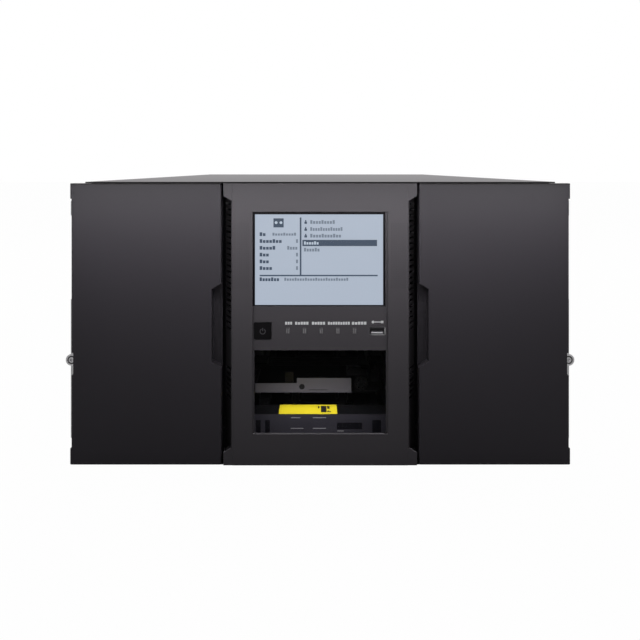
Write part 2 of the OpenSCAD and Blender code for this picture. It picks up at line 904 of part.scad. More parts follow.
module magazine_handle() {
    z0 = handle_z - handle_h / 2;
    post = 10;
    translate([0, handle_y + handle_t, 0])
        rotate([90, 0, 0])
            linear_extrude(handle_t)
                translate([handle_x, handle_z])
                    polygon(round_rect(handle_w, handle_h, 4));
    for (z = [z0 + 2, z0 + handle_h - post - 2])
        box(handle_x - handle_w / 2 + 4, handle_x + handle_w / 2 - 4, handle_y + handle_t - eps,
            mag_face_y, z, z + post);
}

module left_magazine_frame() {
    color("gray")
        placed()
            on_side(-1)
                magazine_frame();
}

module left_slot_walls() {
    color("gray")
        placed()
            on_side(-1)
                slot_walls();
}

module left_magazine_handle() {
    color("dimgray")
        placed()
            on_side(-1)
                magazine_handle();
}

module right_magazine_frame() {
    color("gray")
        placed()
            magazine_frame();
}

module right_slot_walls() {
    color("gray")
        placed()
            slot_walls();
}

module right_magazine_handle() {
    color("dimgray")
        placed()
            magazine_handle();
}

// ------------------------------------------------------------------ robot

module lift_racks() {
    teeth = ceil((lift_travel + 24) / tooth_pitch);
    below = 3;
    color("gainsboro")
        placed()
            for (s = [-1, 1], y = [front_rack_y - 1, rear_rack_y - 1])
                on_side(s)
                    translate([lift_rack_x, y + rack_w + 2, shaft_z + (0.5 - below) * tooth_pitch])
                        rotate([90, 0, 0])
                            linear_extrude(rack_w + 2)
                                mirror([1, 0, 0])
                                    polygon(rack_points(teeth, lift_rack_x - lift_rack_back));
}

module lift_carriage() {
    floor_z = car_z0 + floor_t;
    ahead = ceil((picker_y - col_mid + 12) / tooth_pitch);
    rack_base_y = picker_y + tr_pinion_dy - (ahead - 0.5) * tooth_pitch;
    rack_teeth = floor((rear_beam_y0 - rack_base_y) / tooth_pitch + 0.3);
    color([0.25, 0.26, 0.3])
        placed() {
            difference() {
                union() {
                    box(-car_x, car_x, beam_y0, beam_y1, car_z0, car_top);
                    box(-car_x, car_x, rear_beam_y0, rear_beam_y1, car_z0, car_top);
                    for (s = [-1, 1])
                        on_side(s) {
                            box(rail_x0, rail_x1, beam_y1 - eps, rear_beam_y0 + eps, car_z0, rail_top);
                            box(ear_x0, ear_x1, beam_y0, beam_y0 + 12, 11, 29);
                            box(ear_x0, ear_x1, rear_beam_y1 - 12, rear_beam_y1, 11, 29);
                        }
                    box(-rail_x0 - eps, rail_x0 + eps, beam_y1 - eps, rear_beam_y0 + eps, car_z0, floor_z);
                }
                for (s = [-1, 1])
                    on_side(s) {
                        rod_y(shaft_x, shaft_z, shaft_r + run_fit, beam_y0 - over, rear_beam_y1 + over);
                        rod_y(rod_x, rod_z, rod_r + run_fit, beam_y1 - rod_seat, rear_beam_y0 + rod_seat);
                    }
                for (i = [0:3])
                    box(-40, 40, beam_y1 + 20 + i * 88, beam_y1 + 80 + i * 88, car_z0 - over, floor_z + over);
                box(-63, -49, beam_y0 - over, beam_y0 + 4, 12, 26);
                box(16, 34, beam_y0 - over, beam_y0 + 3, 18, 25);
                box(41, 43, beam_y0 - over, beam_y0 + 3, 11, 26);
            }
            box(-58.5, -53.5, beam_y0 + 1, beam_y0 + 4 + eps, 12 - eps, 26 + eps);
            for (p = [[-22.6, 28.7], [-0.2, 28.7], [-22.6, 18.3], [-0.2, 18.3]])
                box(p[0] - 7, p[0] + 7, beam_y0 - 0.8, beam_y0 + eps, p[1] - 0.8, p[1] + 0.8);
            translate([tr_rack_x, rack_base_y, rail_top - eps])
                linear_extrude(tr_rack_z1 - rail_top)
                    polygon(rack_points(rack_teeth, -rail_x1 - tr_rack_x));
        }
}

module lift_motors() {
    half = 9.5;
    y0 = 250;
    color([0.15, 0.15, 0.16])
        placed()
            for (s = [-1, 1])
                on_side(s)
                    difference() {
                        union() {
                            along_y(y0, y0 + 38)
                                translate([shaft_x, shaft_z])
                                    polygon(round_rect(2 * half, 2 * half, 2.5));
                            rod_y(shaft_x, shaft_z, 6, y0 - 2, y0 + 40);
                        }
                        rod_y(shaft_x, shaft_z, shaft_r + run_fit, y0 - 3, y0 + 41);
                    }
}

module lift_shaft() {
    rod_y(shaft_x, shaft_z, shaft_r, front_rack_y - 0.5, rear_rack_y + rack_w + 0.5);
    for (y = [front_rack_y, rear_rack_y])
        along_y(y, y + rack_w)
            translate([shaft_x, shaft_z])
                polygon(gear_points(pinion_teeth, gear_module));
}

module left_lift_shaft() {
    color("lightgray")
        placed()
            on_side(-1)
                lift_shaft();
}

module right_lift_shaft() {
    color("lightgray")
        placed()
            lift_shaft();
}

module traverse_rods() {
    color("lightgray")
        placed()
            for (x = [-rod_x, rod_x])
                rod_y(x, rod_z, rod_r, beam_y1 - rod_seat + 0.5, rear_beam_y0 + rod_seat - 0.5);
}

module robot_label_plate() {
    color([0.98, 0.86, 0.1])
        placed()
            box(-40.5, 17.5, beam_y0 + 0.3, beam_y1 - 1, car_top, car_top + label_t);
}

module robot_board() {
    board_low = base_z0 - 4;
    color([0.05, 0.25, 0.15])
        placed() {
            box(-34, 26, beam_y1 + 2, beam_y1 + 13, board_low, board_low + board_t);
            for (x = [-16, 12])
                rod_z(x, beam_y1 + 8, 2, car_z0 + floor_t, board_low + eps);
            for (x = [-20, -4])
                box(x, x + 9, beam_y1 + 4, beam_y1 + 11, board_low + board_t - eps, base_z0 - 0.6);
        }
}

module picker_base() {
    color([0.3, 0.3, 0.33])
        placed()
            translate([0, picker_y, 0])
                difference() {
                    union() {
                        box(-base_half, base_half, base_front, base_back, base_z0, base_z1);
                        for (s = [-1, 1])
                            on_side(s)
                                box(block_x0, block_x1, base_front + 2, base_back - 2, 11.5, base_z0 + eps);
                        rod_z(0, 0, boss_round_r, base_z1 - eps, tray_z - 0.2);
                        rod_z(0, 0, hub_r, base_z1 - eps, tray_top - 0.3);
                    }
                    for (x = [-rod_x, rod_x])
                        rod_y(x, rod_z, rod_r + run_fit, base_front - over, base_back + over);
                    rod_z(tr_pinion_x, tr_pinion_dy, spindle_r + run_fit, base_z0 - over, base_z1 + over);
                }
}

module traverse_pinion() {
    color("gainsboro")
        placed()
            translate([tr_pinion_x, picker_y + tr_pinion_dy, 0]) {
                translate([0, 0, rail_top + 0.8])
                    linear_extrude(tr_rack_z1 - rail_top - 1.2)
                        polygon(gear_points(pinion_teeth, gear_module));
                rod_z(0, 0, spindle_r, rail_top + 0.8, base_z1);
            }
}

module picker_turntable() {
    x = tray_len / 2;
    y = tray_w / 2;
    swing_round = 14;
    color([0.35, 0.35, 0.36])
        placed()
            translate([0, picker_y, 0]) {
                difference() {
                    translate([0, 0, tray_z])
                        linear_extrude(tray_t)
                            polygon(concat(
                                arc(x - swing_round, y - swing_round, swing_round, 0, 90),
                                arc(3 - x, y - 3, 3, 90, 180),
                                arc(3 - x, 3 - y, 3, 180, 270),
                                arc(x - swing_round, swing_round - y, swing_round, 270, 360)));
                    rod_z(0, 0, hub_r + run_fit, tray_z - over, tray_top + over);
                }
                box(-x, -24, -y, tray_wall - y, tray_top - eps, low_wall_z);
                box(-24 - eps, 34.7, -y, tray_wall - y, tray_top - eps, tall_wall_z);
                box(8 - x, 50, y - tray_wall, y, tray_top - eps, low_wall_z);
                box(wheel_x - 6, wheel_x + 6, 8 - y, 11 - y, tray_top - eps, wheel_z + 4);
                box(-x + 8, 50, y - tray_wall - 2, y - tray_wall + eps, tray_top - eps, tray_top + 4);
                rod_y(wheel_x, wheel_z, 2, 1.5 - y, 8 - y + eps);
            }
}

module barcode_reader() {
    color([0.1, 0.1, 0.12])
        placed()
            translate([-37, picker_y - tray_w / 2 + tray_wall, tray_top])
                rotate([90, 0, 90])
                    linear_extrude(9)
                        polygon([[0, 0], [14, 0], [14, 8], [4, 19], [0, 19]]);
}

module gripper_block() {
    color([0.45, 0.45, 0.47])
        placed()
            translate([0, picker_y, 0]) {
                difference() {
                    box(claw_x + 4, claw_x + 4 + grip_len, -grip_half, grip_half, grip_z0, grip_z1);
                    box(claw_x + 7, claw_x + 13, -14, 14, grip_z1 - 6, grip_z1 + over);
                }
                for (y = [-claw_y, claw_y]) {
                    for (z = [[grip_z0, claw_z0 - 0.4], [claw_z1 + 0.4, grip_z1]]) {
                        rod_z(claw_x, y, 4, z[0], z[1]);
                        box(claw_x, claw_x + 4 + eps, y - 4, y + 4, z[0], z[1]);
                    }
                    rod_z(claw_x, y, claw_pin_r, grip_z0 + eps, grip_z1 - eps);
                }
            }
}

// One claw, hooked inwards at its tip; s is its side.
module claw(s) {
    translate([claw_x, picker_y + s * claw_y, 0])
        difference() {
            union() {
                rod_z(0, 0, 3.4, claw_z0, claw_z1);
                translate([0, 0, claw_z0])
                    linear_extrude(claw_z1 - claw_z0)
                        polygon([[0, -s * 2.4], [0, s * 2.4], [-claw_len, s * 2.6],
                            [-claw_len, -s * 3.4], [2.5 - claw_len, -s * 3.4], [4.5 - claw_len, -s * 0.6]]);
            }
            rod_z(0, 0, claw_pin_r + run_fit, claw_z0 - over, claw_z1 + over);
        }
}

module front_claw() {
    color("silver")
        placed()
            claw(-1);
}

module rear_claw() {
    color("silver")
        placed()
            claw(1);
}

module reach_wheel() {
    y0 = picker_y - tray_w / 2 + 2;
    y1 = y0 + 5.2;
    color([0.2, 0.2, 0.2])
        placed()
            difference() {
                union() {
                    rod_y(wheel_x, wheel_z, wheel_r - 1, y0, y1);
                    rod_y(wheel_x, wheel_z, wheel_r, y0, y0 + 1.2);
                    rod_y(wheel_x, wheel_z, wheel_r, y1 - 1.2, y1);
                }
                rod_y(wheel_x, wheel_z, 2 + run_fit, y0 - over, y1 + over);
                for (a = [0:60:300])
                    rod_y(wheel_x + 4.6 * cos(a), wheel_z + 4.6 * sin(a), 1.3, y0 - over, y1 + over);
            }
}

// ------------------------------------------------------------------- rear

module drive_bay() {
    color("silver")
        placed()
            for (s = [-1, 1])
                on_side(s) {
                    box(bay_x, bay_x + sheet, bay_y0, panel_y, 2 * sheet, cover_under - 0.1);
                    for (i = [1:drives - 1])
                        box(sled_x - 6, bay_x + eps, drive_y0 + 4, panel_y - 1,
                            drive_z0 + i * drive_pitch - sled_gap + 0.4,
                            drive_z0 + i * drive_pitch - 0.4);
                }
}

module drive_sled(i) {
    z0 = drive_z0 + i * drive_pitch;
    mid = z0 + sled_h / 2;
    lip = 10;
    color("gray")
        placed() {
            difference() {
                union() {
                    box(-sled_x, sled_x, drive_y0 + 2, panel_y + eps, z0, z0 + sheet);
                    for (s = [-1, 1])
                        on_side(s)
                            box(sled_x - sheet, sled_x, drive_y0 + 2, panel_y + eps, z0, z0 + lip);
                    box(-drive_x, drive_x, drive_y0, panel_y - 40, z0 + sheet - eps, z0 + sled_h - 0.5);
                    box(-sled_x + 4, sled_x - 4, panel_y - 40 - eps, panel_y + eps, z0, z0 + sled_h - 2);
                    box(-sled_x - 1, sled_x + 1, panel_y, panel_y + 2, z0 + 0.3, z0 + sled_h - 0.3);
                }
                box(-slot_w / 2, slot_w / 2, drive_y0 - over, drive_y0 + slot_depth,
                    mid - slot_h / 2, mid + slot_h / 2);
                box(-drive_x - over, drive_x + over, drive_y0 - over, drive_y0 + 2,
                    z0 + sled_h - 5, z0 + sled_h);
                for (k = [0:13])
                    box(-64 + k * 6, -61 + k * 6, panel_y + 1, panel_y + 3, z0 + 8, z0 + 22);
            }
            for (s = [-1, 1])
                rod_y(s * (sled_x - 8), z0 + sled_h - 9, 4.5, panel_y + 2 - eps, panel_y + 10);
            sled_handle(z0 + sled_h - 12);
            for (x = [38, 58])
                box(x - 7, x + 7, panel_y + 2 - eps, panel_y + 6, z0 + 8, z0 + 17);
        }
}

// A bent pull strip on the back of a drive sled.
module sled_handle(z) {
    w = 44;
    reach = 14;
    t = 2.5;
    translate([0, panel_y + 2 - eps, z])
        linear_extrude(6)
            polygon([[-w / 2, 0], [-w / 2, reach - 4], [4 - w / 2, reach], [w / 2 - 4, reach],
                [w / 2, reach - 4], [w / 2, 0], [w / 2 - t, 0], [w / 2 - t, reach - 5],
                [w / 2 - 5, reach - t], [5 - w / 2, reach - t], [t - w / 2, reach - 5], [t - w / 2, 0]]);
}

module drive_sled_1() { drive_sled(0); }
module drive_sled_2() { drive_sled(1); }
module drive_sled_3() { drive_sled(2); }
module drive_sled_4() { drive_sled(3); }
module drive_sled_5() { drive_sled(4); }
module drive_sled_6() { drive_sled(5); }

function psu_base(i) = psu_z + i * (psu_h + psu_gap);

module power_supplies() {
    x0 = side_mid - psu_w / 2;
    x1 = side_mid + psu_w / 2;
    inlet_x = x0 + 20;
    bail_x0 = x1 - 44;
    bail_x1 = x1 - 6;
    t = 5;
    color("silver")
        placed()
            for (i = [0, 1]) {
                z = psu_base(i);
                difference() {
                    box(x0, x1, body_back - psu_len, body_back + 1.5, z, z + psu_h);
                    box(inlet_x - inlet_w / 2 - 0.1, inlet_x + inlet_w / 2 + 0.1, body_back - 18,
                        body_back + 3, z + psu_h / 2 - inlet_h / 2 - 0.1,
                        z + psu_h / 2 + inlet_h / 2 + 0.1);
                    for (a = [0:6], b = [0:4])
                        translate([x0 + 42 + a * 6 + (b % 2) * 3, body_back - 2, z + 8 + b * 5.2])
                            rotate([-90, 0, 0])
                                cylinder(r = 2.1, h = 5, $fn = 6);
                }
                translate([0, body_back + 1.5 - eps, z + psu_h - 7])
                    linear_extrude(t)
                        polygon([[bail_x0, 0], [bail_x0, handle_reach - 7.5],
                            [bail_x0 + 6, handle_reach - 1.5 + eps], [bail_x1 - 6, handle_reach - 1.5 + eps],
                            [bail_x1, handle_reach - 7.5], [bail_x1, 0], [bail_x1 - t, 0],
                            [bail_x1 - t, handle_reach - 9.5], [bail_x1 - 8, handle_reach - 6.5],
                            [bail_x0 + 8, handle_reach - 6.5], [bail_x0 + t, handle_reach - 9.5],
                            [bail_x0 + t, 0]]);
            }
}

module power_inlets() {
    x = side_mid - psu_w / 2 + 20;
    color([0.05, 0.05, 0.05])
        placed()
            for (i = [0, 1]) {
                z = psu_base(i) + psu_h / 2;
                difference() {
                    box(x - inlet_w / 2, x + inlet_w / 2, body_back - 17, body_back + 2.5,
                        z - inlet_h / 2, z + inlet_h / 2);
                    along_y(body_back - 14, body_back + 4)
                        polygon([[x - 12, z - 8], [x + 12, z - 8], [x + 12, z + 4],
                            [x + 8, z + 8], [x - 8, z + 8], [x - 12, z + 4]]);
                }
                for (p = [[-7, -1.5], [7, -1.5], [0, 2.5]])
                    box(x + p[0] - 1, x + p[0] + 1, body_back - 14 - eps, body_back - 1,
                        z + p[1] - 2, z + p[1] + 2);
            }
}

module controller_card() {
    x0 = -side_mid - card_w / 2;
    x1 = -side_mid + card_w / 2;
    color("silver")
        placed()
            difference() {
                union() {
                    box(x0, x1, body_back - card_len, body_back + 1.5, card_z, card_z + 2);
                    box(x0, x1, body_back - 0.5, body_back + 1.5, card_z, card_z + card_h);
                    for (x = [x0, x1 - 1.5])
                        box(x, x + 1.5, body_back - card_len, body_back, card_z, card_z + 24);
                    box(x0 + 10, x1 - 10, body_back - card_len + 20, body_back - 24, card_z + 2 - eps,
                        card_z + 16);
                    for (x = [x0 + 8, x1 - 8])
                        rod_y(x, card_z + card_h - 8, 4, body_back + 1.5 - eps, body_back + 9);
                }
                for (k = [0, 1])
                    port_hole(k, 0.15);
            }
}

function port_x(k) = -side_mid - 20 + k * 22;

module port_hole(k, gap) {
    box(port_x(k) - rj_w / 2 - 1.5 - gap, port_x(k) + rj_w / 2 + 1.5 + gap, body_back - 2,
        body_back + 4, card_z + 20 - 1.5 - gap, card_z + 20 + rj_h + 1.5 + gap);
}

module network_ports() {
    z = card_z + 20;
    color([0.6, 0.6, 0.62])
        placed()
            for (k = [0, 1])
                difference() {
                    box(port_x(k) - rj_w / 2 - 1.5, port_x(k) + rj_w / 2 + 1.5, body_back - 16,
                        body_back + 2, z - 1.5, z + rj_h + 1.5);
                    box(port_x(k) - rj_w / 2, port_x(k) + rj_w / 2, body_back - 13,
                        body_back + 3, z, z + rj_h);
                }
}

module fan_frames() {
    half = fan_size / 2;
    color([0.1, 0.1, 0.1])
        placed()
            for (s = [-1, 1])
                on_side(s) {
                    difference() {
                        along_y(panel_y - fan_t, panel_y)
                            translate([side_mid, fan_z])
                                polygon(round_rect(fan_size, fan_size, 5));
                        rod_y(side_mid, fan_z, half - 2, panel_y - fan_t - over, panel_y + over);
                        for (a = [-1, 1], b = [-1, 1])
                            rod_y(side_mid + a * (half - 4.3), fan_z + b * (half - 4.3), 2.2,
                                panel_y - fan_t - over, panel_y + over);
                    }
                    rod_y(side_mid, fan_z, fan_hub_r, panel_y - fan_t, panel_y - fan_t + 3);
                    for (a = [30, 150, 270])
                        translate([side_mid, 0, fan_z])
                            rotate([0, a, 0])
                                box(fan_hub_r - 2, half - 1.5, panel_y - fan_t, panel_y - fan_t + 3, -2, 2);
                    rod_y(side_mid, fan_z, 2, panel_y - fan_t + 3 - eps, panel_y - 6);
                }
}

module fan_rotor(s) {
    y0 = panel_y - fan_t + 4;
    y1 = panel_y - 3;
    blades = 7;
    color([0.12, 0.12, 0.12])
        placed()
            translate([s * side_mid, 0, fan_z]) {
                difference() {
                    rod_y(0, 0, fan_hub_r, y0, y1);
                    rod_y(0, 0, 2 + run_fit, y0 - over, y1 - 1.5);
                }
                intersection() {
                    difference() {
                        rod_y(0, 0, fan_size / 2 - 3.5, y0, y1);
                        rod_y(0, 0, fan_hub_r - 1, y0 - over, y1 + over);
                    }
                    for (k = [0:blades - 1])
                        rotate([0, k * 360 / blades, 0])
                            translate([fan_hub_r - 3, (y0 + y1) / 2, 0])
                                rotate([38, 0, 0])
                                    translate([0, -14, -0.9])
                                        cube([fan_size / 2 - fan_hub_r + 3, 28, 1.8]);
                }
            }
}

module left_fan_rotor() { fan_rotor(-1); }
module right_fan_rotor() { fan_rotor(1); }

module screw_head() {
    difference() {
        cylinder(r1 = 3, r2 = 2.2, h = 1.4);
        translate([0, 0, 0.6])
            cylinder(r = 1.2, h = 2, $fn = 6);
    }
}

module panel_screws() {
    color("lightgray")
        placed() {
            for (s = [-1, 1])
                on_side(s) {
                    for (z = [side_screw_z, body_h / 2, body_h - side_screw_z])
                        translate([body_x + 2, rim_y + side_screw_y, z])
                            rotate([0, 90, 0])
                                screw_head();
                    for (k = [0.22, 0.46, 0.7, 0.97], z = [8, cover_under - 8])
                        translate([body_x, rim_y + k * body_len, z])
                            rotate([0, 90, 0])
                                screw_head();
                    for (z = [fan_z - 36, fan_z + 36], dx = [-36, 36])
                        translate([side_mid + dx, body_back, z])
                            rotate([-90, 0, 0])
                                screw_head();
                    for (z = [edge_screw_z, body_h / 2 - 3, cover_under - 11])
                        translate([body_x - 6, body_back, z])
                            rotate([-90, 0, 0])
                                screw_head();
                }
        }
}

bottom_pan();
left_side_panel();
right_side_panel();
top_cover();
rear_panel();
front_frame();
mid_bulkhead();
magazine_guides();
fascia_bezel();
display_frame();
lcd_panel();
display_glass();
window_pane();
power_button();
led_light_pipes();
usb_port();
front_control_board();
left_door();
right_door();
left_hinge_brackets();
right_hinge_brackets();
rack_ears();
rack_screws();
left_magazine_frame();
left_slot_walls();
left_magazine_handle();
right_magazine_frame();
right_slot_walls();
right_magazine_handle();
lift_racks();
lift_carriage();
lift_motors();
left_lift_shaft();
right_lift_shaft();
traverse_rods();
robot_label_plate();
robot_board();
picker_base();
traverse_pinion();
picker_turntable();
barcode_reader();
gripper_block();
front_claw();
rear_claw();
reach_wheel();
drive_bay();
drive_sled_1();
drive_sled_2();
drive_sled_3();
drive_sled_4();
drive_sled_5();
drive_sled_6();
power_supplies();
power_inlets();
controller_card();
network_ports();
fan_frames();
left_fan_rotor();
right_fan_rotor();
panel_screws();
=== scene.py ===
"""Finishes, screen, marks and stage for a rack-mounted data tape library."""

import math

import bmesh
import bpy
from mathutils import Matrix, Vector


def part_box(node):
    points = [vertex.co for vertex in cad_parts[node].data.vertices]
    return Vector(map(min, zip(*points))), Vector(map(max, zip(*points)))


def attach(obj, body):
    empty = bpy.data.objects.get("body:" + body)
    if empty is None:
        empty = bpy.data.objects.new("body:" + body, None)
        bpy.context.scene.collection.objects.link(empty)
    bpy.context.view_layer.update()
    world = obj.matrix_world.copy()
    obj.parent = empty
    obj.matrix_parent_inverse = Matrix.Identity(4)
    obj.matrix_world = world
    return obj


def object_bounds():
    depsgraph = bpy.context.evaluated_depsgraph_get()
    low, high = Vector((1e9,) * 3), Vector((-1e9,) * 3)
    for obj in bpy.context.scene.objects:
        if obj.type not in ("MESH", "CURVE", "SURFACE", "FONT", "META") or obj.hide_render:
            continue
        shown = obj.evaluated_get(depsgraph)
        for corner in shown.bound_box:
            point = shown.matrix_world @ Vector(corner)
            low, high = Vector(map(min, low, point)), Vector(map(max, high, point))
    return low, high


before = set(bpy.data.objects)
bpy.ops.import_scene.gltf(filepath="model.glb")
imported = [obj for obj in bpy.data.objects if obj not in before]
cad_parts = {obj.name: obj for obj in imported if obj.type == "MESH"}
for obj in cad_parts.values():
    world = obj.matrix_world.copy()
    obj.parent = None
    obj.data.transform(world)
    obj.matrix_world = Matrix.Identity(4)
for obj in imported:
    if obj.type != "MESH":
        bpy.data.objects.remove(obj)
cad_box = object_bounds()

bl_info = {
    "name": "Data tape library",
    "version": (1, 0, 0),
    "blender": (4, 5, 0),
    "location": "View3D > Sidebar > Tape Library",
    "description": "Finishes, screen, marks and stage for a rack-mounted data tape library",
    "category": "Object",
}

MM = 0.001
FRONT_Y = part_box("left_door")[0].y
PIECES = {}

# In millimetres; the first two are depths behind the doors' front face.
SCREEN_Y = 2.98  # the front of what the display shows
FIELD_Y = 0.8  # the control strip's face
INK_T = 0.08  # the thickness of what the display shows


# ------------------------------------------------------------------ settings


def colour_setting(name, default, description):
    return bpy.props.FloatVectorProperty(
        name=name,
        description=description,
        subtype="COLOR",
        size=3,
        min=0.0,
        max=1.0,
        default=default,
    )


def length_setting(name, default, description):
    return bpy.props.FloatProperty(name=name, description=description, unit="LENGTH", default=default)


def power_setting(name, default, description):
    return bpy.props.FloatProperty(name=name, description=description, unit="POWER", default=default)


class FrontFinish(bpy.types.PropertyGroup):
    """Colours of the doors and the fascia."""

    door: colour_setting("Door paint", (0.0195, 0.0177, 0.0212), "Satin paint of the two front doors")
    fascia: colour_setting("Fascia plastic", (0.0328, 0.0302, 0.034), "Moulded plastic of the centre fascia")
    print_white: colour_setting("Print", (0.36, 0.36, 0.37), "Printed marks on the control strip")
    symbol_grey: colour_setting("Power symbol", (0.022, 0.02, 0.024), "Moulded symbol on the power button")


class ScreenLayout(bpy.types.PropertyGroup):
    """Sizes and colours of what the display shows."""

    glow: colour_setting("Backlight", (0.45, 0.515, 0.62), "Lit ground of the display")
    ink: colour_setting("Dark dots", (0.05, 0.075, 0.12), "Headings and lines on the display")
    faint: colour_setting("Grey dots", (0.19, 0.23, 0.29), "Values on the display")
    block_h: length_setting("Character height", 3.4 * MM, "Height of one character block")
    block_w: length_setting("Character width", 1.75 * MM, "Width of one character block")
    block_gap: length_setting("Character gap", 0.6 * MM, "Gap between character blocks")


class MetalFinish(bpy.types.PropertyGroup):
    """Colours of the sheet metal and the robot."""

    sheet: colour_setting("Sheet steel", (0.5, 0.5, 0.51), "Zinc-coated sheet of the body")
    cover: colour_setting("Cover steel", (0.41, 0.4, 0.41), "Top cover")
    robot: colour_setting("Robot paint", (0.004, 0.004, 0.005), "Black paint of the robot's carriage")
    plate: colour_setting("Beam plate", (0.068, 0.064, 0.083), "Front plate of the robot's beam")
    bracket: colour_setting("Picker bracket", (0.255, 0.238, 0.265), "Sheet bracket along the picker's front")
    label: colour_setting("Label plate", (0.86, 0.7, 0.022), "Plate on top of the robot beam")


class StageSettings(bpy.types.PropertyGroup):
    """Camera and lamps."""

    lens: bpy.props.FloatProperty(
        name="Lens", description="Focal length of the camera in millimetres", default=41.88, min=10.0
    )
    distance: length_setting("Camera distance", 689 * MM, "Camera to the doors' front")
    height: length_setting("Camera height", 274.9 * MM, "Camera above the floor")
    key: power_setting("Key lamp", 2.0, "Power of the key lamp")
    strip: power_setting("Strip lamp", 0.95, "Power of the strip lamp over the front")
    fill: power_setting("Top lamp", 12.0, "Power of the lamp overhead")
    inner: power_setting("Inner lamp", 0.0395, "Power of the work lamp over the robot's beam")
    around: power_setting("Side lamps", 15.0, "Power of each lamp beside and behind the object")
    ambient: bpy.props.FloatProperty(
        name="Ambient", description="Strength of the surrounding light", default=0.29
    )


# ------------------------------------------------------------- shader groups


def feed(links, socket, value):
    """Sets a socket to a number, or links another node's output to it."""
    if isinstance(value, (int, float)):
        socket.default_value = value
    else:
        links.new(value, socket)


def add_math(nodes, links, operation, *values):
    """A math node fed by numbers or by other nodes' outputs."""
    step = nodes.new("ShaderNodeMath")
    step.operation = operation
    for socket, value in zip(step.inputs, values):
        feed(links, socket, value)
    return step.outputs[0]


def add_noise(nodes, links, place, scale, detail):
    """A noise value at each place of the surface."""
    noise = nodes.new("ShaderNodeTexNoise")
    noise.inputs["Detail"].default_value = detail
    links.new(place, noise.inputs["Vector"])
    feed(links, noise.inputs["Scale"], scale)
    return noise.outputs["Fac"]


def mix_colours(nodes, links, factor, first, second):
    """A plain second colour takes the place of the first where the factor is one."""
    mix = nodes.new("ShaderNodeMix")
    mix.data_type = "RGBA"
    links.new(factor, mix.inputs["Factor"])
    links.new(first, mix.inputs["A"])
    mix.inputs["B"].default_value = (*second, 1)
    return mix.outputs["Result"]


def start_group(name, inputs):
    """An empty node group with the given inputs and the outputs that both surface groups have."""
    group = bpy.data.node_groups.new(name, "ShaderNodeTree")
    for label, kind, default in inputs:
        socket = group.interface.new_socket(name=label, in_out="INPUT", socket_type=kind)
        socket.default_value = default
    outputs = {"Color": "NodeSocketColor", "Roughness": "NodeSocketFloat", "Height": "NodeSocketFloat"}
    for label, kind in outputs.items():
        group.interface.new_socket(name=label, in_out="OUTPUT", socket_type=kind)
    return group


def vary_surface(nodes, links, source, result, centred):
    """Lets a noise value centred on zero shift a group's colour and roughness."""
    swing = add_math(nodes, links, "MULTIPLY_ADD", centred, source.outputs["Variation"], 1.0)
    shade = nodes.new("ShaderNodeVectorMath")
    shade.operation = "SCALE"
    links.new(source.outputs["Color"], shade.inputs[0])
    links.new(swing, shade.inputs["Scale"])
    rough = add_math(nodes, links, "MULTIPLY_ADD", centred, source.outputs["Roughness Spread"],
                     source.outputs["Roughness"])
    links.new(shade.outputs["Vector"], result.inputs["Color"])
    links.new(rough, result.inputs["Roughness"])


def build_mottle_group(name):
    """Slow colour change, roughness change and a fine moulded or painted grain."""
    group = start_group(name, (
        ("Color", "NodeSocketColor", (0.5, 0.5, 0.5, 1)),
        ("Variation", "NodeSocketFloat", 0.15),
        ("Patch Scale", "NodeSocketFloat", 12.0),
        ("Grain Scale", "NodeSocketFloat", 1400.0),
        ("Roughness", "NodeSocketFloat", 0.5),
        ("Roughness Spread", "NodeSocketFloat", 0.1),
    ))
    nodes, links = group.nodes, group.links
    source = nodes.new("NodeGroupInput")
    result = nodes.new("NodeGroupOutput")
    place = surface_place(nodes)
    patches = add_noise(nodes, links, place, source.outputs["Patch Scale"], detail=5.0)
    grain = add_noise(nodes, links, place, source.outputs["Grain Scale"], detail=2.0)
    noise_middle = 0.5
    vary_surface(nodes, links, source, result, add_math(nodes, links, "SUBTRACT", patches, noise_middle))
    links.new(grain, result.inputs["Height"])
    return group


def build_brushed_group(name):
    """Fine lines along one axis and faint crystals, as on rolled, brushed or zinc-coated sheet."""
    group = start_group(name, (
        ("Color", "NodeSocketColor", (0.5, 0.5, 0.5, 1)),
        ("Variation", "NodeSocketFloat", 0.2),
        ("Line Scale", "NodeSocketVector", (1400.0, 12.0, 1400.0)),
        ("Roughness", "NodeSocketFloat", 0.35),
        ("Roughness Spread", "NodeSocketFloat", 0.15),
    ))
    nodes, links = group.nodes, group.links
    source = nodes.new("NodeGroupInput")
    result = nodes.new("NodeGroupOutput")
    place = surface_place(nodes)
    stretch = nodes.new("ShaderNodeVectorMath")
    stretch.operation = "MULTIPLY"
    links.new(place, stretch.inputs[0])
    links.new(source.outputs["Line Scale"], stretch.inputs[1])
    lines = add_noise(nodes, links, stretch.outputs["Vector"], 1.0, detail=3.0)
    crystals = nodes.new("ShaderNodeTexVoronoi")
    crystals.inputs["Scale"].default_value = 90.0
    links.new(place, crystals.inputs["Vector"])
    crystal_share = 0.25
    mixed = add_math(nodes, links, "MULTIPLY_ADD", crystals.outputs["Distance"], crystal_share, lines)
    mixed_middle = 0.6
    vary_surface(nodes, links, source, result, add_math(nodes, links, "SUBTRACT", mixed, mixed_middle))
    links.new(lines, result.inputs["Height"])
    return group


MOTTLED = "Mottled surface"
BRUSHED = "Brushed sheet"
GROUP_BUILDERS = {MOTTLED: build_mottle_group, BRUSHED: build_brushed_group}


def shared_group(name):
    """The node group of that name, built the first time it is asked for."""
    return bpy.data.node_groups.get(name) or GROUP_BUILDERS[name](name)


# ----------------------------------------------------------------- materials


def surface_normal(nodes):
    return nodes.new("ShaderNodeNewGeometry").outputs["Normal"]


def surface_place(nodes):
    return nodes.new("ShaderNodeTexCoord").outputs["Object"]


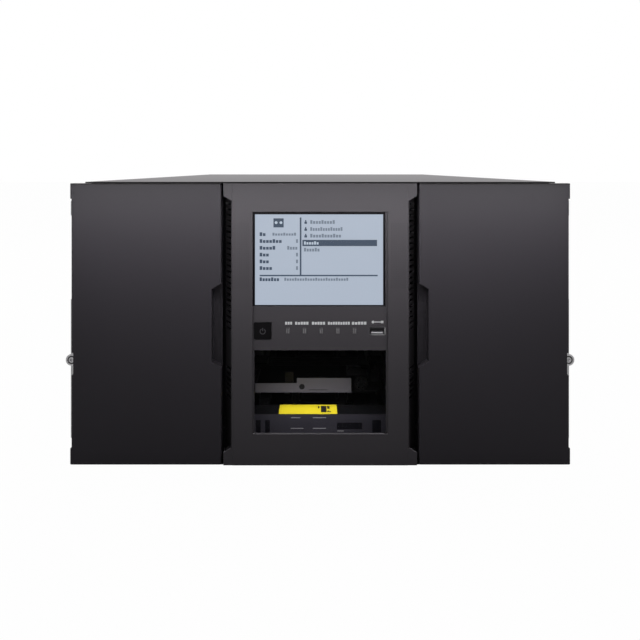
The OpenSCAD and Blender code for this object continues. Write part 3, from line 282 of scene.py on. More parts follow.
def start_material(name, group_name, values):
    """A material with a shared surface group in it; values holds the group's inputs by name."""
    material = bpy.data.materials.new(name)
    material.use_nodes = True
    tree = material.node_tree
    surface = tree.nodes.new("ShaderNodeGroup")
    surface.node_tree = shared_group(group_name)
    for label, value in values.items():
        surface.inputs[label].default_value = value
    return material, tree.links, surface, tree.nodes["Principled BSDF"]


def wire_finish(links, surface, shader, specular):
    """Sends the group's colour and roughness to the shader."""
    links.new(surface.outputs["Color"], shader.inputs["Base Color"])
    links.new(surface.outputs["Roughness"], shader.inputs["Roughness"])
    shader.inputs["Specular IOR Level"].default_value = specular


def wire_bump(nodes, links, surface, shader, strength, depth):
    """Sends the group's grain to the shader as a bump of the given depth in metres."""
    bump = nodes.new("ShaderNodeBump")
    bump.inputs["Strength"].default_value = strength
    bump.inputs["Distance"].default_value = depth
    links.new(surface.outputs["Height"], bump.inputs["Height"])
    links.new(bump.outputs["Normal"], shader.inputs["Normal"])


def mottled_material(name, colour, roughness=0.5, spread=0.1, variation=0.15, patch=12.0, grain=1400.0,
                     bump=0.25, depth=0.05 * MM, specular=0.5):
    """A painted or moulded surface."""
    material, links, surface, shader = start_material(name, MOTTLED, {
        "Color": (*colour, 1),
        "Variation": variation,
        "Patch Scale": patch,
        "Grain Scale": grain,
        "Roughness": roughness,
        "Roughness Spread": spread,
    })
    wire_finish(links, surface, shader, specular)
    wire_bump(material.node_tree.nodes, links, surface, shader, bump, depth)
    return material


def brushed_material(name, colour, lines=(1400.0, 12.0, 1400.0), roughness=0.35, variation=0.2,
                     metallic=1.0, specular=0.5):
    """Rolled, brushed or zinc-coated metal."""
    material, links, surface, shader = start_material(name, BRUSHED, {
        "Color": (*colour, 1),
        "Variation": variation,
        "Line Scale": lines,
        "Roughness": roughness,
        "Roughness Spread": 0.15,
    })
    wire_finish(links, surface, shader, specular)
    shader.inputs["Metallic"].default_value = metallic
    wire_bump(material.node_tree.nodes, links, surface, shader, strength=0.12, depth=0.03 * MM)
    return material


def clear_material(name, tint, opacity, roughness, specular):
    """A thin clear pane that lets the lamps through."""
    material, links, surface, shader = start_material(name, MOTTLED, {
        "Color": (*tint, 1),
        "Variation": 0.2,
        "Patch Scale": 30.0,
        "Roughness": roughness,
        "Roughness Spread": 0.04,
    })
    wire_finish(links, surface, shader, specular)
    shader.inputs["Alpha"].default_value = opacity
    return material


def lit_material(name, colour):
    """A display surface lit from behind."""
    material, links, surface, shader = start_material(name, MOTTLED, {
        "Color": (*colour, 1),
        "Variation": 0.05,
        "Patch Scale": 9.0,
    })
    shader.inputs["Base Color"].default_value = (0.008, 0.008, 0.008, 1)
    shader.inputs["Roughness"].default_value = 0.6
    shader.inputs["Specular IOR Level"].default_value = 0.1
    links.new(surface.outputs["Color"], shader.inputs["Emission Color"])
    shader.inputs["Emission Strength"].default_value = 1.0
    return material


def colour_output(material):
    """The colour that the material's surface group gives."""
    return next(node for node in material.node_tree.nodes if node.type == "GROUP").outputs["Color"]


def fascia_material(name, colour):
    """Moulded plastic with two faint fields of pin-holes beside the display, and painted shade darkening the
    side channels.
    """
    material = mottled_material(name, colour, roughness=0.55, spread=0.06, variation=0.12, patch=8.0,
                                grain=2200.0, bump=0.2, depth=0.04 * MM, specular=0.12)
    nodes, links = material.node_tree.nodes, material.node_tree.links
    parts = nodes.new("ShaderNodeSeparateXYZ")
    links.new(surface_place(nodes), parts.inputs[0])

    def step(operation, *values):
        return add_math(nodes, links, operation, *values)

    def both(first, second):
        return step("MULTIPLY", first, second)

    def within(value, low, high):
        return both(step("GREATER_THAN", value, low), step("LESS_THAN", value, high))

    def from_cell_middle(value):
        hole_pitch = 2.1 * MM
        return step("SUBTRACT", step("FRACT", step("DIVIDE", value, hole_pitch)), 0.5)

    across = step("ABSOLUTE", parts.outputs["X"])
    deep = parts.outputs["Y"]
    up = parts.outputs["Z"]
    cell_x = from_cell_middle(across)
    cell_z = from_cell_middle(up)
    radius = step("SQRT", step("ADD", both(cell_x, cell_x), both(cell_z, cell_z)))
    hole_radius = 0.2  # in hole pitches
    hole = step("LESS_THAN", radius, hole_radius)
    field = both(within(across, 65.5 * MM, 81.2 * MM), within(up, 164 * MM, 225 * MM))
    front = step("LESS_THAN", deep, FRONT_Y + 0.5 * MM)
    holes = both(both(hole, field), front)
    holed = mix_colours(nodes, links, holes, colour_output(material), [0.35 * share for share in colour])

    # Painted shade: the side channels' walls behind the face take a much darker colour, standing in for the
    # shade deep in the channels.
    behind = step("GREATER_THAN", deep, FRONT_Y + 0.9 * MM)
    beside = step("GREATER_THAN", across, 82.2 * MM)
    channel = both(both(behind, beside), within(up, 12 * MM, 249 * MM))
    channel_shaded = mix_colours(nodes, links, channel, holed, [0.3 * share for share in colour])
    links.new(channel_shaded, nodes["Principled BSDF"].inputs["Base Color"])
    return material


def shade_where(material, values, axis, operation, limit, colour):
    """Mixes a second colour into a material on one side of a limit along one axis."""
    nodes, links = material.node_tree.nodes, material.node_tree.links
    parts = nodes.new("ShaderNodeSeparateXYZ")
    links.new(values(nodes), parts.inputs[0])
    side = add_math(nodes, links, operation, parts.outputs[axis], limit)
    mixed = mix_colours(nodes, links, side, colour_output(material), colour)
    links.new(mixed, nodes["Principled BSDF"].inputs["Base Color"])
    return material


def dress(material, *nodes):
    """Gives every named CAD node one material."""
    for node in nodes:
        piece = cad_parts[node]
        for slot in piece.material_slots:
            slot.material = material
        if not piece.material_slots:
            piece.data.materials.append(material)


# ------------------------------------------------------------ piece building


def front_point(x, y, z):
    """Millimetres from the middle, the doors' front face and the floor, as a frame point."""
    return Vector((x * MM, FRONT_Y + y * MM, z * MM))


def add_block(bm, low, high, soften=0.0):
    """A block between two corners, with its edges rounded where soften is over zero."""
    corners = bmesh.ops.create_cube(bm, size=1.0)["verts"]
    bmesh.ops.scale(bm, vec=high - low, verts=corners)
    bmesh.ops.translate(bm, vec=(low + high) / 2, verts=corners)
    if soften > 0:
        edges = list({edge for corner in corners for edge in corner.link_edges})
        bmesh.ops.bevel(bm, geom=edges, offset=soften, offset_type="OFFSET", affect="EDGES", segments=2,
                        profile=0.5, material=-1)


def add_plate(bm, left, right, low, high, face, back, soften=0.0):
    """A block given by its six sides in millimetres, as front_point takes them."""
    add_block(bm, front_point(left, face, low), front_point(right, back, high), soften)


def add_disc(bm, centre, radius, depth):
    """A short round peg that faces the front, from its centre point."""
    corners = bmesh.ops.create_cone(bm, cap_ends=True, segments=24, radius1=radius, radius2=radius,
                                    depth=depth)["verts"]
    bmesh.ops.rotate(bm, cent=(0, 0, 0), matrix=Matrix.Rotation(math.radians(90), 3, "X"), verts=corners)
    bmesh.ops.translate(bm, vec=centre, verts=corners)


def add_arc_band(bm, centre, radius, width, depth, start=0, end=360):
    """A flat curved band facing the front, made by spinning a small rectangle about Y."""
    corners = [
        bm.verts.new(centre + Vector((radius + side * width / 2, back * depth / 2, 0)))
        for side, back in ((-1, -1), (1, -1), (1, 1), (-1, 1))
    ]
    section = [bm.edges.new((corners[place - 1], corners[place])) for place in range(4)]
    full_turn = end - start == 360
    if not full_turn:
        section.append(bm.faces.new(corners))
    bmesh.ops.rotate(bm, cent=centre, matrix=Matrix.Rotation(math.radians(start), 3, "Y"), verts=corners)
    bmesh.ops.spin(bm, geom=corners + section, cent=centre, axis=(0, 1, 0),
                   angle=math.radians(end - start), steps=20, use_merge=full_turn, use_duplicate=False)


def finish_piece(name, bm, material, body):
    """Turns the mesh into an object that rides on a body of the frame."""
    bmesh.ops.recalc_face_normals(bm, faces=bm.faces)
    mesh = bpy.data.meshes.new(name)
    bm.to_mesh(mesh)
    bm.free()
    piece = bpy.data.objects.new(name, mesh)
    bpy.context.scene.collection.objects.link(piece)
    piece.data.materials.append(material)
    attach(piece, body)
    PIECES[name] = piece


def character_row(bm, settings, x, z, length, step=None, height=None, face=SCREEN_Y):
    """A row of plain blocks that stand for characters, from its left end and its middle height."""
    step = step or (settings.block_w + settings.block_gap) / MM
    tall = height or settings.block_h / MM
    wide = step - settings.block_gap / MM
    low = z - tall / 2
    for place in range(length):
        rise = tall * (1.0 if place % 4 == 0 else 0.76)
        add_plate(bm, x, x + wide, low, low + rise, face, face + INK_T)
        x += step


# ----------------------------------------------------------------- operators


class DressChassis(bpy.types.Operator):
    """Finish the sheet-metal body, the ears and the screws"""

    bl_idname = "tape_library.dress_chassis"
    bl_label = "Dress the chassis"

    def execute(self, context):
        metal = context.scene.tape_library_metal
        dress(
            brushed_material("Zinc sheet", metal.sheet, roughness=0.38),
            "bottom_pan", "left_side_panel", "right_side_panel", "rear_panel",
        )
        cover = brushed_material("Cover sheet", metal.cover, roughness=0.65, metallic=0.0, variation=0.06,
                                 specular=0.0)
        # Painted shade: the cover's faces that look to the front are coloured dark grey, which keeps its
        # front edge from lighting up bright under the strip lamp.
        faces_front = -0.7
        painted_front_edge_shade = (0.06, 0.058, 0.06)
        dress(shade_where(cover, surface_normal, "Y", "LESS_THAN", faces_front, painted_front_edge_shade), "top_cover")
        dress(
            mottled_material("Bay paint", (0.004, 0.004, 0.005), roughness=0.6, specular=0.1),
            "mid_bulkhead", "drive_bay",
        )
        dress(
            mottled_material("Frame paint", (0.006, 0.006, 0.007), roughness=0.6, specular=0.1),
            "front_frame",
        )
        dress(brushed_material("Bright zinc", (0.62, 0.62, 0.63), roughness=0.28), "rack_ears")
        every_way = (900.0, 900.0, 900.0)
        dress(
            brushed_material("Screw metal", (0.78, 0.77, 0.79), lines=every_way, roughness=0.4),
            "rack_screws",
        )
        self.fit_painted_screw_shade()
        dress(
            brushed_material("Small screw metal", (0.6, 0.6, 0.61), lines=every_way, roughness=0.25),
            "panel_screws",
        )
        dress(
            mottled_material("Guide plastic", (0.02, 0.02, 0.02), roughness=0.5, specular=0.3),
            "magazine_guides",
        )
        return {"FINISHED"}

    @staticmethod
    def fit_painted_screw_shade():
        """A dark ring of painted shade round the middle of each captive screw's head, standing in for the
        shade in its recess.
        """
        rings = bmesh.new()
        screw_x, screw_z, head_face = 232.55, 95.6, 7.63
        for side in (-1, 1):
            add_arc_band(rings, front_point(side * screw_x, head_face, screw_z), radius=3.0 * MM,
                         width=1.5 * MM, depth=0.05 * MM)
        shade = mottled_material("Painted screw recess shade", (0.03, 0.03, 0.03))
        finish_piece("painted_screw_shade", rings, shade, "chassis")


class DressFront(bpy.types.Operator):
    """Finish the doors, the fascia, the display and the window"""

    bl_idname = "tape_library.dress_front"
    bl_label = "Dress the front"

    def execute(self, context):
        front = context.scene.tape_library_front
        screen = context.scene.tape_library_screen
        door = mottled_material("Door paint", front.door, roughness=0.5, spread=0.05, variation=0.16,
                                patch=6.0, grain=2600.0, bump=0.16, depth=0.04 * MM,
                                specular=0.12)
        # Painted shadow: the doors' strip above this height is near black, standing in for the shadow in the
        # gap between the doors and the top cover.
        painted_seam_shadow_z = 259.9 * MM
        painted_seam_shadow = (0.006, 0.0055, 0.0065)
        dress(
            shade_where(door, surface_place, "Z", "GREATER_THAN", painted_seam_shadow_z, painted_seam_shadow),
            "left_door", "right_door",
        )
        dress(
            mottled_material("Hinge paint", (0.03, 0.03, 0.032), roughness=0.4),
            "left_hinge_brackets", "right_hinge_brackets",
        )
        dress(fascia_material("Fascia plastic", front.fascia), "fascia_bezel")
        dress(
            mottled_material("Display surround", (0.0025, 0.002, 0.003), roughness=0.4, bump=0.05,
                             specular=0.08),
            "display_frame",
        )
        dress(lit_material("Display ground", screen.glow), "lcd_panel")
        dress(
            clear_material("Display glass", (0.02, 0.02, 0.02), opacity=0.05, roughness=0.08, specular=0.2),
            "display_glass",
        )
        dress(
            clear_material("Window glass", (0.002, 0.002, 0.002), opacity=0.2, roughness=0.1,
                           specular=0.05),
            "window_pane",
        )
        dress(
            mottled_material("Button plastic", (0.0015, 0.0012, 0.0018), roughness=0.5, specular=0.1),
            "power_button",
        )
        dress(
            mottled_material("Light pipe", (0.05, 0.048, 0.052), roughness=0.4, variation=0.5, patch=300.0,
                             specular=0.3),
            "led_light_pipes",
        )
        dress(brushed_material("Port shell", (0.075, 0.072, 0.078), roughness=0.3, metallic=0.6), "usb_port")
        dress(
            mottled_material("Board green", (0.012, 0.09, 0.045), roughness=0.4, variation=0.6, patch=160.0),
            "front_control_board", "robot_board",
        )
        return {"FINISHED"}


class DressMagazines(bpy.types.Operator):
    """Finish the cartridge magazines"""

    bl_idname = "tape_library.dress_magazines"
    bl_label = "Dress the magazines"

    def execute(self, context):
        dress(
            mottled_material("Magazine plastic", (0.01, 0.01, 0.011), roughness=0.6, grain=1800.0,
                             specular=0.1),
            "left_slot_walls", "right_slot_walls",
        )
        dress(
            mottled_material("Magazine shell", (0.022, 0.021, 0.023), roughness=0.5, grain=1800.0,
                             specular=0.2),
            "left_magazine_frame", "right_magazine_frame",
        )
        dress(
            mottled_material("Handle plastic", (0.012, 0.012, 0.013), roughness=0.4),
            "left_magazine_handle", "right_magazine_handle",
        )
        return {"FINISHED"}


class DressRobot(bpy.types.Operator):
    """Finish the lift carriage, the picker and their drives"""

    bl_idname = "tape_library.dress_robot"
    bl_label = "Dress the robot"

    def execute(self, context):
        metal = context.scene.tape_library_metal
        dress(
            mottled_material("Robot paint", metal.robot, roughness=0.55, variation=0.25, patch=20.0,
                             specular=0.1),
            "lift_carriage",
        )
        dress(mottled_material("Label plate", metal.label, roughness=0.5, bump=0.05), "robot_label_plate")
        dress(
            mottled_material("Motor paint", (0.005, 0.005, 0.006), roughness=0.5, specular=0.1),
            "lift_motors",
        )
        dress(
            mottled_material("Gear plastic", (0.012, 0.012, 0.013), roughness=0.45, specular=0.3),
            "lift_racks", "traverse_pinion",
        )
        dress(
            brushed_material("Ground shaft", (0.22, 0.22, 0.23), lines=(300.0, 2500.0, 300.0),
                             roughness=0.3),
            "left_lift_shaft", "right_lift_shaft", "traverse_rods",
        )
        dress(
            mottled_material("Picker paint", (0.006, 0.0056, 0.0064), roughness=0.55, specular=0.1),
            "picker_turntable",
        )
        dress(
            mottled_material("Picker casting", (0.005, 0.005, 0.006), roughness=0.6, specular=0.1),
            "picker_base", "gripper_block",
        )
        dress(
            mottled_material("Reader housing", (0.01, 0.009, 0.011), roughness=0.4, specular=0.3),
            "barcode_reader",
        )
        dress(brushed_material("Claw steel", (0.12, 0.12, 0.125), roughness=0.4), "front_claw", "rear_claw")
        dress(
            mottled_material("Wheel rubber", (0.012, 0.012, 0.013), roughness=0.75, specular=0.2),
            "reach_wheel",
        )
        return {"FINISHED"}


class DressRear(bpy.types.Operator):
    """Finish the drive sleds, the supplies, the card and the fans"""

    bl_idname = "tape_library.dress_rear"
    bl_label = "Dress the rear"

    def execute(self, context):
        dress(
            brushed_material("Sled sheet", (0.34, 0.35, 0.36), roughness=0.4),
            *(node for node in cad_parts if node.startswith("drive_sled_")),
        )
        dress(
            brushed_material("Supply sheet", (0.5, 0.51, 0.52), roughness=0.36),
            "power_supplies", "controller_card",
        )
        dress(mottled_material("Inlet plastic", (0.008, 0.008, 0.008), roughness=0.45), "power_inlets")
        dress(brushed_material("Port metal", (0.6, 0.6, 0.61), roughness=0.28), "network_ports")
        dress(
            mottled_material("Fan plastic", (0.012, 0.012, 0.012), roughness=0.42),
            "fan_frames", "left_fan_rotor", "right_fan_rotor",
        )
        return {"FINISHED"}


class BuildScreen(bpy.types.Operator):
    """Draw the display's lines, rows of character blocks and highlighted row"""

    bl_idname = "tape_library.build_screen"
    bl_label = "Build the screen"

    text_left = -56.2
    menu_left = -9.2
    value_left = -22.4
    text_rows = (213.7, 207.3, 201.0, 194.7, 188.4, 182.2)
    menu_rows = (225.0, 218.5, 212.3)
    status_row = 171.8

    def execute(self, context):
        settings = context.scene.tape_library_screen
        ink = lit_material("Dark dots", settings.ink)
        faint = lit_material("Grey dots", settings.faint)
        pale = lit_material("Pale dots", (0.5, 0.58, 0.68))
        finish_piece("screen_headings", self.headings(settings), ink, "chassis")
        finish_piece("screen_values", self.values(settings), faint, "chassis")
        finish_piece("screen_highlight", self.highlight(settings), pale, "chassis")
        return {"FINISHED"}

    def headings(self, settings):
        """The two rules, the highlighted bar, the words at the left, the menu's locks and the badge."""
        marks = bmesh.new()
        back = SCREEN_Y + INK_T
        rule_x, rule_z = -18.9, 174.6
        add_plate(marks, rule_x, rule_x + 1.5, rule_z + 1.0, 229.2, SCREEN_Y, back)
        add_plate(marks, self.text_left, 53.5, rule_z, rule_z + 1.3, SCREEN_Y, back)
        bar_sunk = 0.05
        add_plate(marks, -16.5, 52.9, 202.6, 208.4, SCREEN_Y + bar_sunk, back + bar_sunk)
        for z, length in zip(self.text_rows, (2, 7, 5, 3, 3, 4)):
            character_row(marks, settings, self.text_left, z, length, step=3.0)
        for z in self.menu_rows:
            add_plate(marks, -14.6, -12.2, z - 1.7, z + 0.3, SCREEN_Y, back)
            add_plate(marks, -14.0, -12.8, z + 0.3, z + 1.7, SCREEN_Y, back)
        character_row(marks, settings, self.text_left, self.status_row, 7, step=2.65)
        add_plate(marks, -43.4, -33.9, 220.0, 228.4, SCREEN_Y, back)
        return marks

    def values(self, settings):
        """The grey rows: values at the right of the words, the menu and the status text."""
        marks = bmesh.new()
        character_row(marks, settings, -44.3, self.text_rows[0], 9, step=2.5, height=2.7)
        for place in (1, 3, 4, 5):
            character_row(marks, settings, self.value_left, self.text_rows[place], 1)
        character_row(marks, settings, -30.6, self.text_rows[2], 4, step=2.5)
        for z, length, step in zip(self.menu_rows, (9, 13, 11), (2.6, None, 2.65)):
            character_row(marks, settings, self.menu_left, z, length, step)
        character_row(marks, settings, -15.0, 199.3, 6, step=2.5)
        character_row(marks, settings, -33.3, self.status_row, 25, step=2.4, height=2.8)
        return marks

    @staticmethod
    def highlight(settings):
        """The pale word on the highlighted bar and the badge's two dots."""
        marks = bmesh.new()
        character_row(marks, settings, -15.0, 205.5, 6, step=2.35, height=2.9, face=SCREEN_Y - 0.06)
        for x in (-40.9, -36.4):
            add_disc(marks, front_point(x, SCREEN_Y - INK_T / 2, 224.4), 1.3 * MM, INK_T * MM)
        return marks


class PrintControlStrip(bpy.types.Operator):
    """Print plain bars over the status lights, a mark over the port and the power symbol"""

    bl_idname = "tape_library.print_control_strip"
    bl_label = "Print the control strip"

    def execute(self, context):
        front = context.scene.tape_library_front
        # This white serves the print, the port's tongue and the painted highlights on the port's shell.
        white = mottled_material("White print and port highlights", front.print_white, roughness=0.6, variation=0.25,
                                 patch=900.0)
        grey = mottled_material("Grey symbol", front.symbol_grey, roughness=0.5)
        # Painted highlight: a lighter grey for thin strips along edges that catch the light.
        edge = mottled_material("Painted edge highlight", (0.085, 0.08, 0.088), roughness=0.5, specular=0.2)
        finish_piece("control_strip_marks", self.strip_marks(), white, "chassis")
        finish_piece("port_tongue_and_highlights", self.port_tongue_and_highlights(), white, "chassis")
        finish_piece("window_ledge_highlight", self.ledge_highlight(), edge, "chassis")
        finish_piece("channel_end_highlights", self.channel_highlights(), edge, "chassis")
        finish_piece("power_symbol", self.power_symbol(), grey, "power_button")
        return {"FINISHED"}

    @staticmethod
    def strip_marks():
        """A broken bar over each status light, and a line with two ends over the port."""
        marks = bmesh.new()
        face = FIELD_Y - 0.04
        back = face + 0.06
        low, tall, short, gap = 130.1, 2.6, 2.3, 0.55
        # Each word's left and right end, and the number of its letters.
        words = ((-32.4, -26.0, 3), (-23.2, -10.9, 5), (-7.6, 4.5, 5), (7.2, 27.4, 9), (29.4, 42.8, 5))
        for left, right, letters in words:
            step = (right - left + gap) / letters
            for place in range(letters):
                x = left + place * step
                rise = tall if (place * 3 + letters) % 4 else short
                add_plate(marks, x, x + step - gap, low, low + rise, face, back)
        line_left = 49.0
        add_plate(marks, line_left, 57.6, 132.1, 132.9, face, back)
        add_plate(marks, 56.2, 58.6, 131.4, 133.6, face, back)
        add_disc(marks, front_point(line_left, face + 0.03, 132.5), 1.2 * MM, 0.06 * MM)
        return marks

    @staticmethod
    def port_tongue_and_highlights():
        """The tongue in the port, and painted highlights along two edges of its shell."""
        port = bmesh.new()
        add_plate(port, 47.6, 58.4, 121.9, 122.9, 1.9, 2.1)
        # Painted highlights: two thin bars in the white print colour along the shell's right and lower edges.
        highlight_face, highlight_back = 0.72, 0.82
        corner_x, corner_z = 59.9, 120.8
        add_plate(port, corner_x, corner_x + 0.5, corner_z, 127.4, highlight_face, highlight_back)
        add_plate(port, 48.0, corner_x, corner_z - 0.3, corner_z, highlight_face, highlight_back)
        return port

    @staticmethod
    def ledge_highlight():
        """A painted highlight along the edge of the window's lower ledge, standing in for the light that
        catches it from above.
        """
        line = bmesh.new()
        half_width = 62.5
        add_plate(line, -half_width, half_width, 29.15, 29.34, -1.15, 0.78)
        return line

    @staticmethod
    def channel_highlights():
        """A painted highlight along the slanted lower end of each side channel."""
        lines = bmesh.new()
        slant = 31.2
        size = Matrix.Diagonal((8.2 * MM, 1.1 * MM, 0.38 * MM, 1))
        for side in (-1, 1):
            place = Matrix.Translation(front_point(side * 86.06, -0.3, 14.23))
            turn = Matrix.Rotation(math.radians(side * slant), 4, "Y")
            bmesh.ops.create_cube(lines, size=1, matrix=place @ turn @ size)
        return lines

    @staticmethod
    def power_symbol():
        """An open ring and a bar on the power button."""
        symbol = bmesh.new()
        button_face = 0.2
        middle_x = -53.2
        centre = front_point(middle_x, button_face - 0.03, 123.9)
        add_arc_band(symbol, centre, radius=2.4 * MM, width=0.75 * MM, depth=0.06 * MM, start=-60, end=240)
        add_plate(symbol, middle_x - 0.4, middle_x + 0.4, 124.2, 127.1, button_face - 0.06, button_face)
        return symbol


class FitLightLenses(bpy.types.Operator):
    """Fit a small ribbed lens over each status light"""

    bl_idname = "tape_library.fit_light_lenses"
    bl_label = "Fit the light lenses"

    def execute(self, context):
        clear = mottled_material("Lens plastic", (0.12, 0.115, 0.12), roughness=0.4, variation=0.6,
                                 patch=420.0)
        lights, pitch, middle_x = 5, 15.5, 1
        rib_away, rib_half = 0.85, 0.34
        lenses = bmesh.new()
        for place in range(lights):
            x = middle_x + (place - lights // 2) * pitch
            for side in (-1, 1):
                rib_x = x + side * rib_away
                add_plate(lenses, rib_x - rib_half, rib_x + rib_half, 122.1, 126.3, 0.55, 0.86, 0.1 * MM)
        finish_piece("status_light_lenses", lenses, clear, "chassis")
        return {"FINISHED"}


class MarkLabelPlate(bpy.types.Operator):
    """Print a plain square and short dashes on the robot's label plate"""

    bl_idname = "tape_library.mark_label_plate"
    bl_label = "Mark the label plate"

    def execute(self, context):
        low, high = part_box("robot_label_plate")
        ink = mottled_material("Label ink", (0.012, 0.011, 0.01), roughness=0.6)
        marks = bmesh.new()
        ink_t = 0.05 * MM
        # Each mark's left end from the plate's right end, its front from the plate's front, width, depth.
        places = ((-16.1, 5.0, 5.6, 19.5), (-9.9, 5.0, 1.8, 5.0), (-9.9, 15.5, 2.6, 8.5),
                  (-8.0, 5.0, 1.8, 3.0), (-19.0, 17.0, 1.4, 7.0))
        for left, front, wide, deep in places:
            corner = Vector((high.x + left * MM, low.y + front * MM, high.z))
            add_block(marks, corner, corner + Vector((wide * MM, deep * MM, ink_t)))
        finish_piece("label_plate_marks", marks, ink, "carriage")
        return {"FINISHED"}


class FitRobotDetails(bpy.types.Operator):
    """Fit the small parts of the robot that show through the window, and the control board's chips"""

    bl_idname = "tape_library.fit_robot_details"
    bl_label = "Fit the robot details"

    plate_low = 10.2
    plate_high = 32.55
    plate_half = 66.5

    def execute(self, context):
        metal = context.scene.tape_library_metal
        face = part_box("lift_carriage")[0].y / MM - FRONT_Y / MM
        self.fit_beam_plate(face, metal.plate)
        # Painted highlight: the dashes' near-white colour stands in for glints on the slots' edges.
        dash = mottled_material("Dash highlight", (0.55, 0.53, 0.56), roughness=0.5)
        finish_piece("beam_dashes", self.beam_dashes(face), dash, "carriage")
        rim = mottled_material("Beam rim", (0.06, 0.056, 0.068), roughness=0.5, specular=0.3)
        finish_piece("beam_rims", self.beam_rims(face), rim, "carriage")
        low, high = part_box("picker_turntable")
        sheet = brushed_material("Bracket sheet", metal.bracket, lines=(14.0, 1300.0, 1300.0),
                                 roughness=0.5, metallic=0.0, variation=0.25)
        finish_piece("picker_bracket", self.bracket(low, high), sheet, "turntable")
        shade = mottled_material("Bracket shade", (0.03, 0.028, 0.03), roughness=0.6, specular=0.2)
        finish_piece("picker_bracket_marks", self.bracket_marks(low), shade, "turntable")
        chip = mottled_material("Chip epoxy", (0.01, 0.01, 0.011), roughness=0.5)
        finish_piece("control_board_parts", self.board_chips(), chip, "chassis")
        return {"FINISHED"}

    def fit_beam_plate(self, face, colour):
        """The plate on the beam's front, left open at four recesses, with a dark sheet of painted shade close
        behind each.
        """
        plate = bmesh.new()
        dark = bmesh.new()
        front, back = face - 0.35, face - 0.02
        # The left, right, low and high side of each recess.
        recesses = ((-62.9, -58.3, 13.6, 26.7), (-53.8, -49.2, 13.6, 26.7), (17.0, 41.8, 17.4, 24.2),
                    (51.9, 60.5, 13.6, 26.7))
        done = -self.plate_half
        for left, right, low, high in recesses:
            add_plate(plate, done, left, self.plate_low, self.plate_high, front, back)
            add_plate(plate, left, right, self.plate_low, low, front, back)
            add_plate(plate, left, right, high, self.plate_high, front, back)
            # Painted shade: a dark sheet just behind the opening, standing in for the shade inside the
            # recess.
            add_plate(dark, left, right, low, high, back - 0.05, back)
            done = right
        add_plate(plate, done, self.plate_half, self.plate_low, self.plate_high, front, back)
        paint = mottled_material("Beam plate", colour, roughness=0.5, variation=0.2, patch=25.0, specular=0.3)
        finish_piece("beam_front_plate", plate, paint, "carriage")
        shade = mottled_material("Beam recess shade", (0.012, 0.0115, 0.017), roughness=0.6, specular=0.1)
        finish_piece("beam_recess_shade", dark, shade, "carriage")

    @staticmethod
    def beam_dashes(face):
        """Short raised bars on the plate, coloured light as painted highlights of the glints along the edges
        of its slots.
        """
        dashes = bmesh.new()
        # The left, right, low and high side of each dash.
        places = ((-28.2, -19.0, 28.8, 29.5), (-6.8, 6.2, 28.8, 29.5), (-28.4, -16.0, 18.2, 19.0),
                  (-6.8, 6.2, 18.2, 19.0), (17.4, 23.8, 15.7, 16.4))
        for left, right, low, high in places:
            add_plate(dashes, left, right, low, high, face - 0.43, face - 0.3)
        return dashes

    def beam_rims(self, face):
        """A raised rim over and beside the wide recess, and one along the plate's top."""
        rims = bmesh.new()
        front, back = face - 0.41, face - 0.3
        rim_z = 26.0
        add_plate(rims, 17.0, 43.6, rim_z, rim_z + 0.7, front, back)
        add_plate(rims, 42.2, 43.6, 15.0, rim_z, front, back)
        add_plate(rims, 0.1 - self.plate_half, self.plate_half - 0.1, 31.9, self.plate_high, front, back)
        return rims

    @staticmethod
    def bracket(low, high):
        """The sheet along the picker's front, which steps down at its left end."""
        bracket = bmesh.new()
        step_x, end_x = -24 * MM, 34.7 * MM
        base_z = low.z + 0.05 * MM
        back_y = low.y - 0.01 * MM
        add_block(bracket, Vector((low.x + 0.1 * MM, low.y - 0.3 * MM, base_z)),
                  Vector((step_x + 0.1 * MM, back_y, high.z - 5.6 * MM)), 0.1 * MM)
        add_block(bracket, Vector((step_x, low.y - 0.34 * MM, base_z)), Vector((end_x, back_y, high.z)),
                  0.1 * MM)
        return bracket

    @staticmethod
    def bracket_marks(low):
        """The slit and the hole in the bracket."""
        marks = bmesh.new()
        add_block(marks, Vector((-11 * MM, low.y - 0.4 * MM, low.z + 2.6 * MM)),
                  Vector((9 * MM, low.y - 0.3 * MM, low.z + 3.3 * MM)))
        add_disc(marks, Vector((-18.5 * MM, low.y - 0.36 * MM, low.z + 6.4 * MM)), 3.0 * MM, 0.1 * MM)
        return marks

    @staticmethod
    def board_chips():
        """A row of chips on the rear face of the board behind the control strip."""
        chips = bmesh.new()
        connector_t = 4 * MM
        board_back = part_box("front_control_board")[1].y - connector_t
        count, first_x, pitch, width = 6, -55 * MM, 20 * MM, 6 * MM
        for place in range(count):
            x = first_x + place * pitch
            add_block(chips, Vector((x, board_back - 0.4 * MM, 139 * MM)),
                      Vector((x + width, board_back + 1.6 * MM, 145 * MM)), 0.3 * MM)
        return chips


def start_tree(owner):
    """The empty node tree of a material or a world."""
    owner.use_nodes = True
    owner.node_tree.nodes.clear()
    return owner.node_tree.nodes, owner.node_tree.links


def add_shader(nodes, kind, colour, strength=None):
    shader = nodes.new(kind)
    shader.inputs["Color"].default_value = (*colour, 1)
    if strength is not None:
        shader.inputs["Strength"].default_value = strength
    return shader.outputs[0]


def mix_shaders(nodes, links, factor, plain, seen, output):
    """The plain shader where the factor is zero and the seen one where it is one."""
    mix = nodes.new("ShaderNodeMixShader")
    for socket, value in zip(mix.inputs, (factor, plain, seen)):
        links.new(value, socket)
    links.new(mix.outputs[0], output.inputs["Surface"])


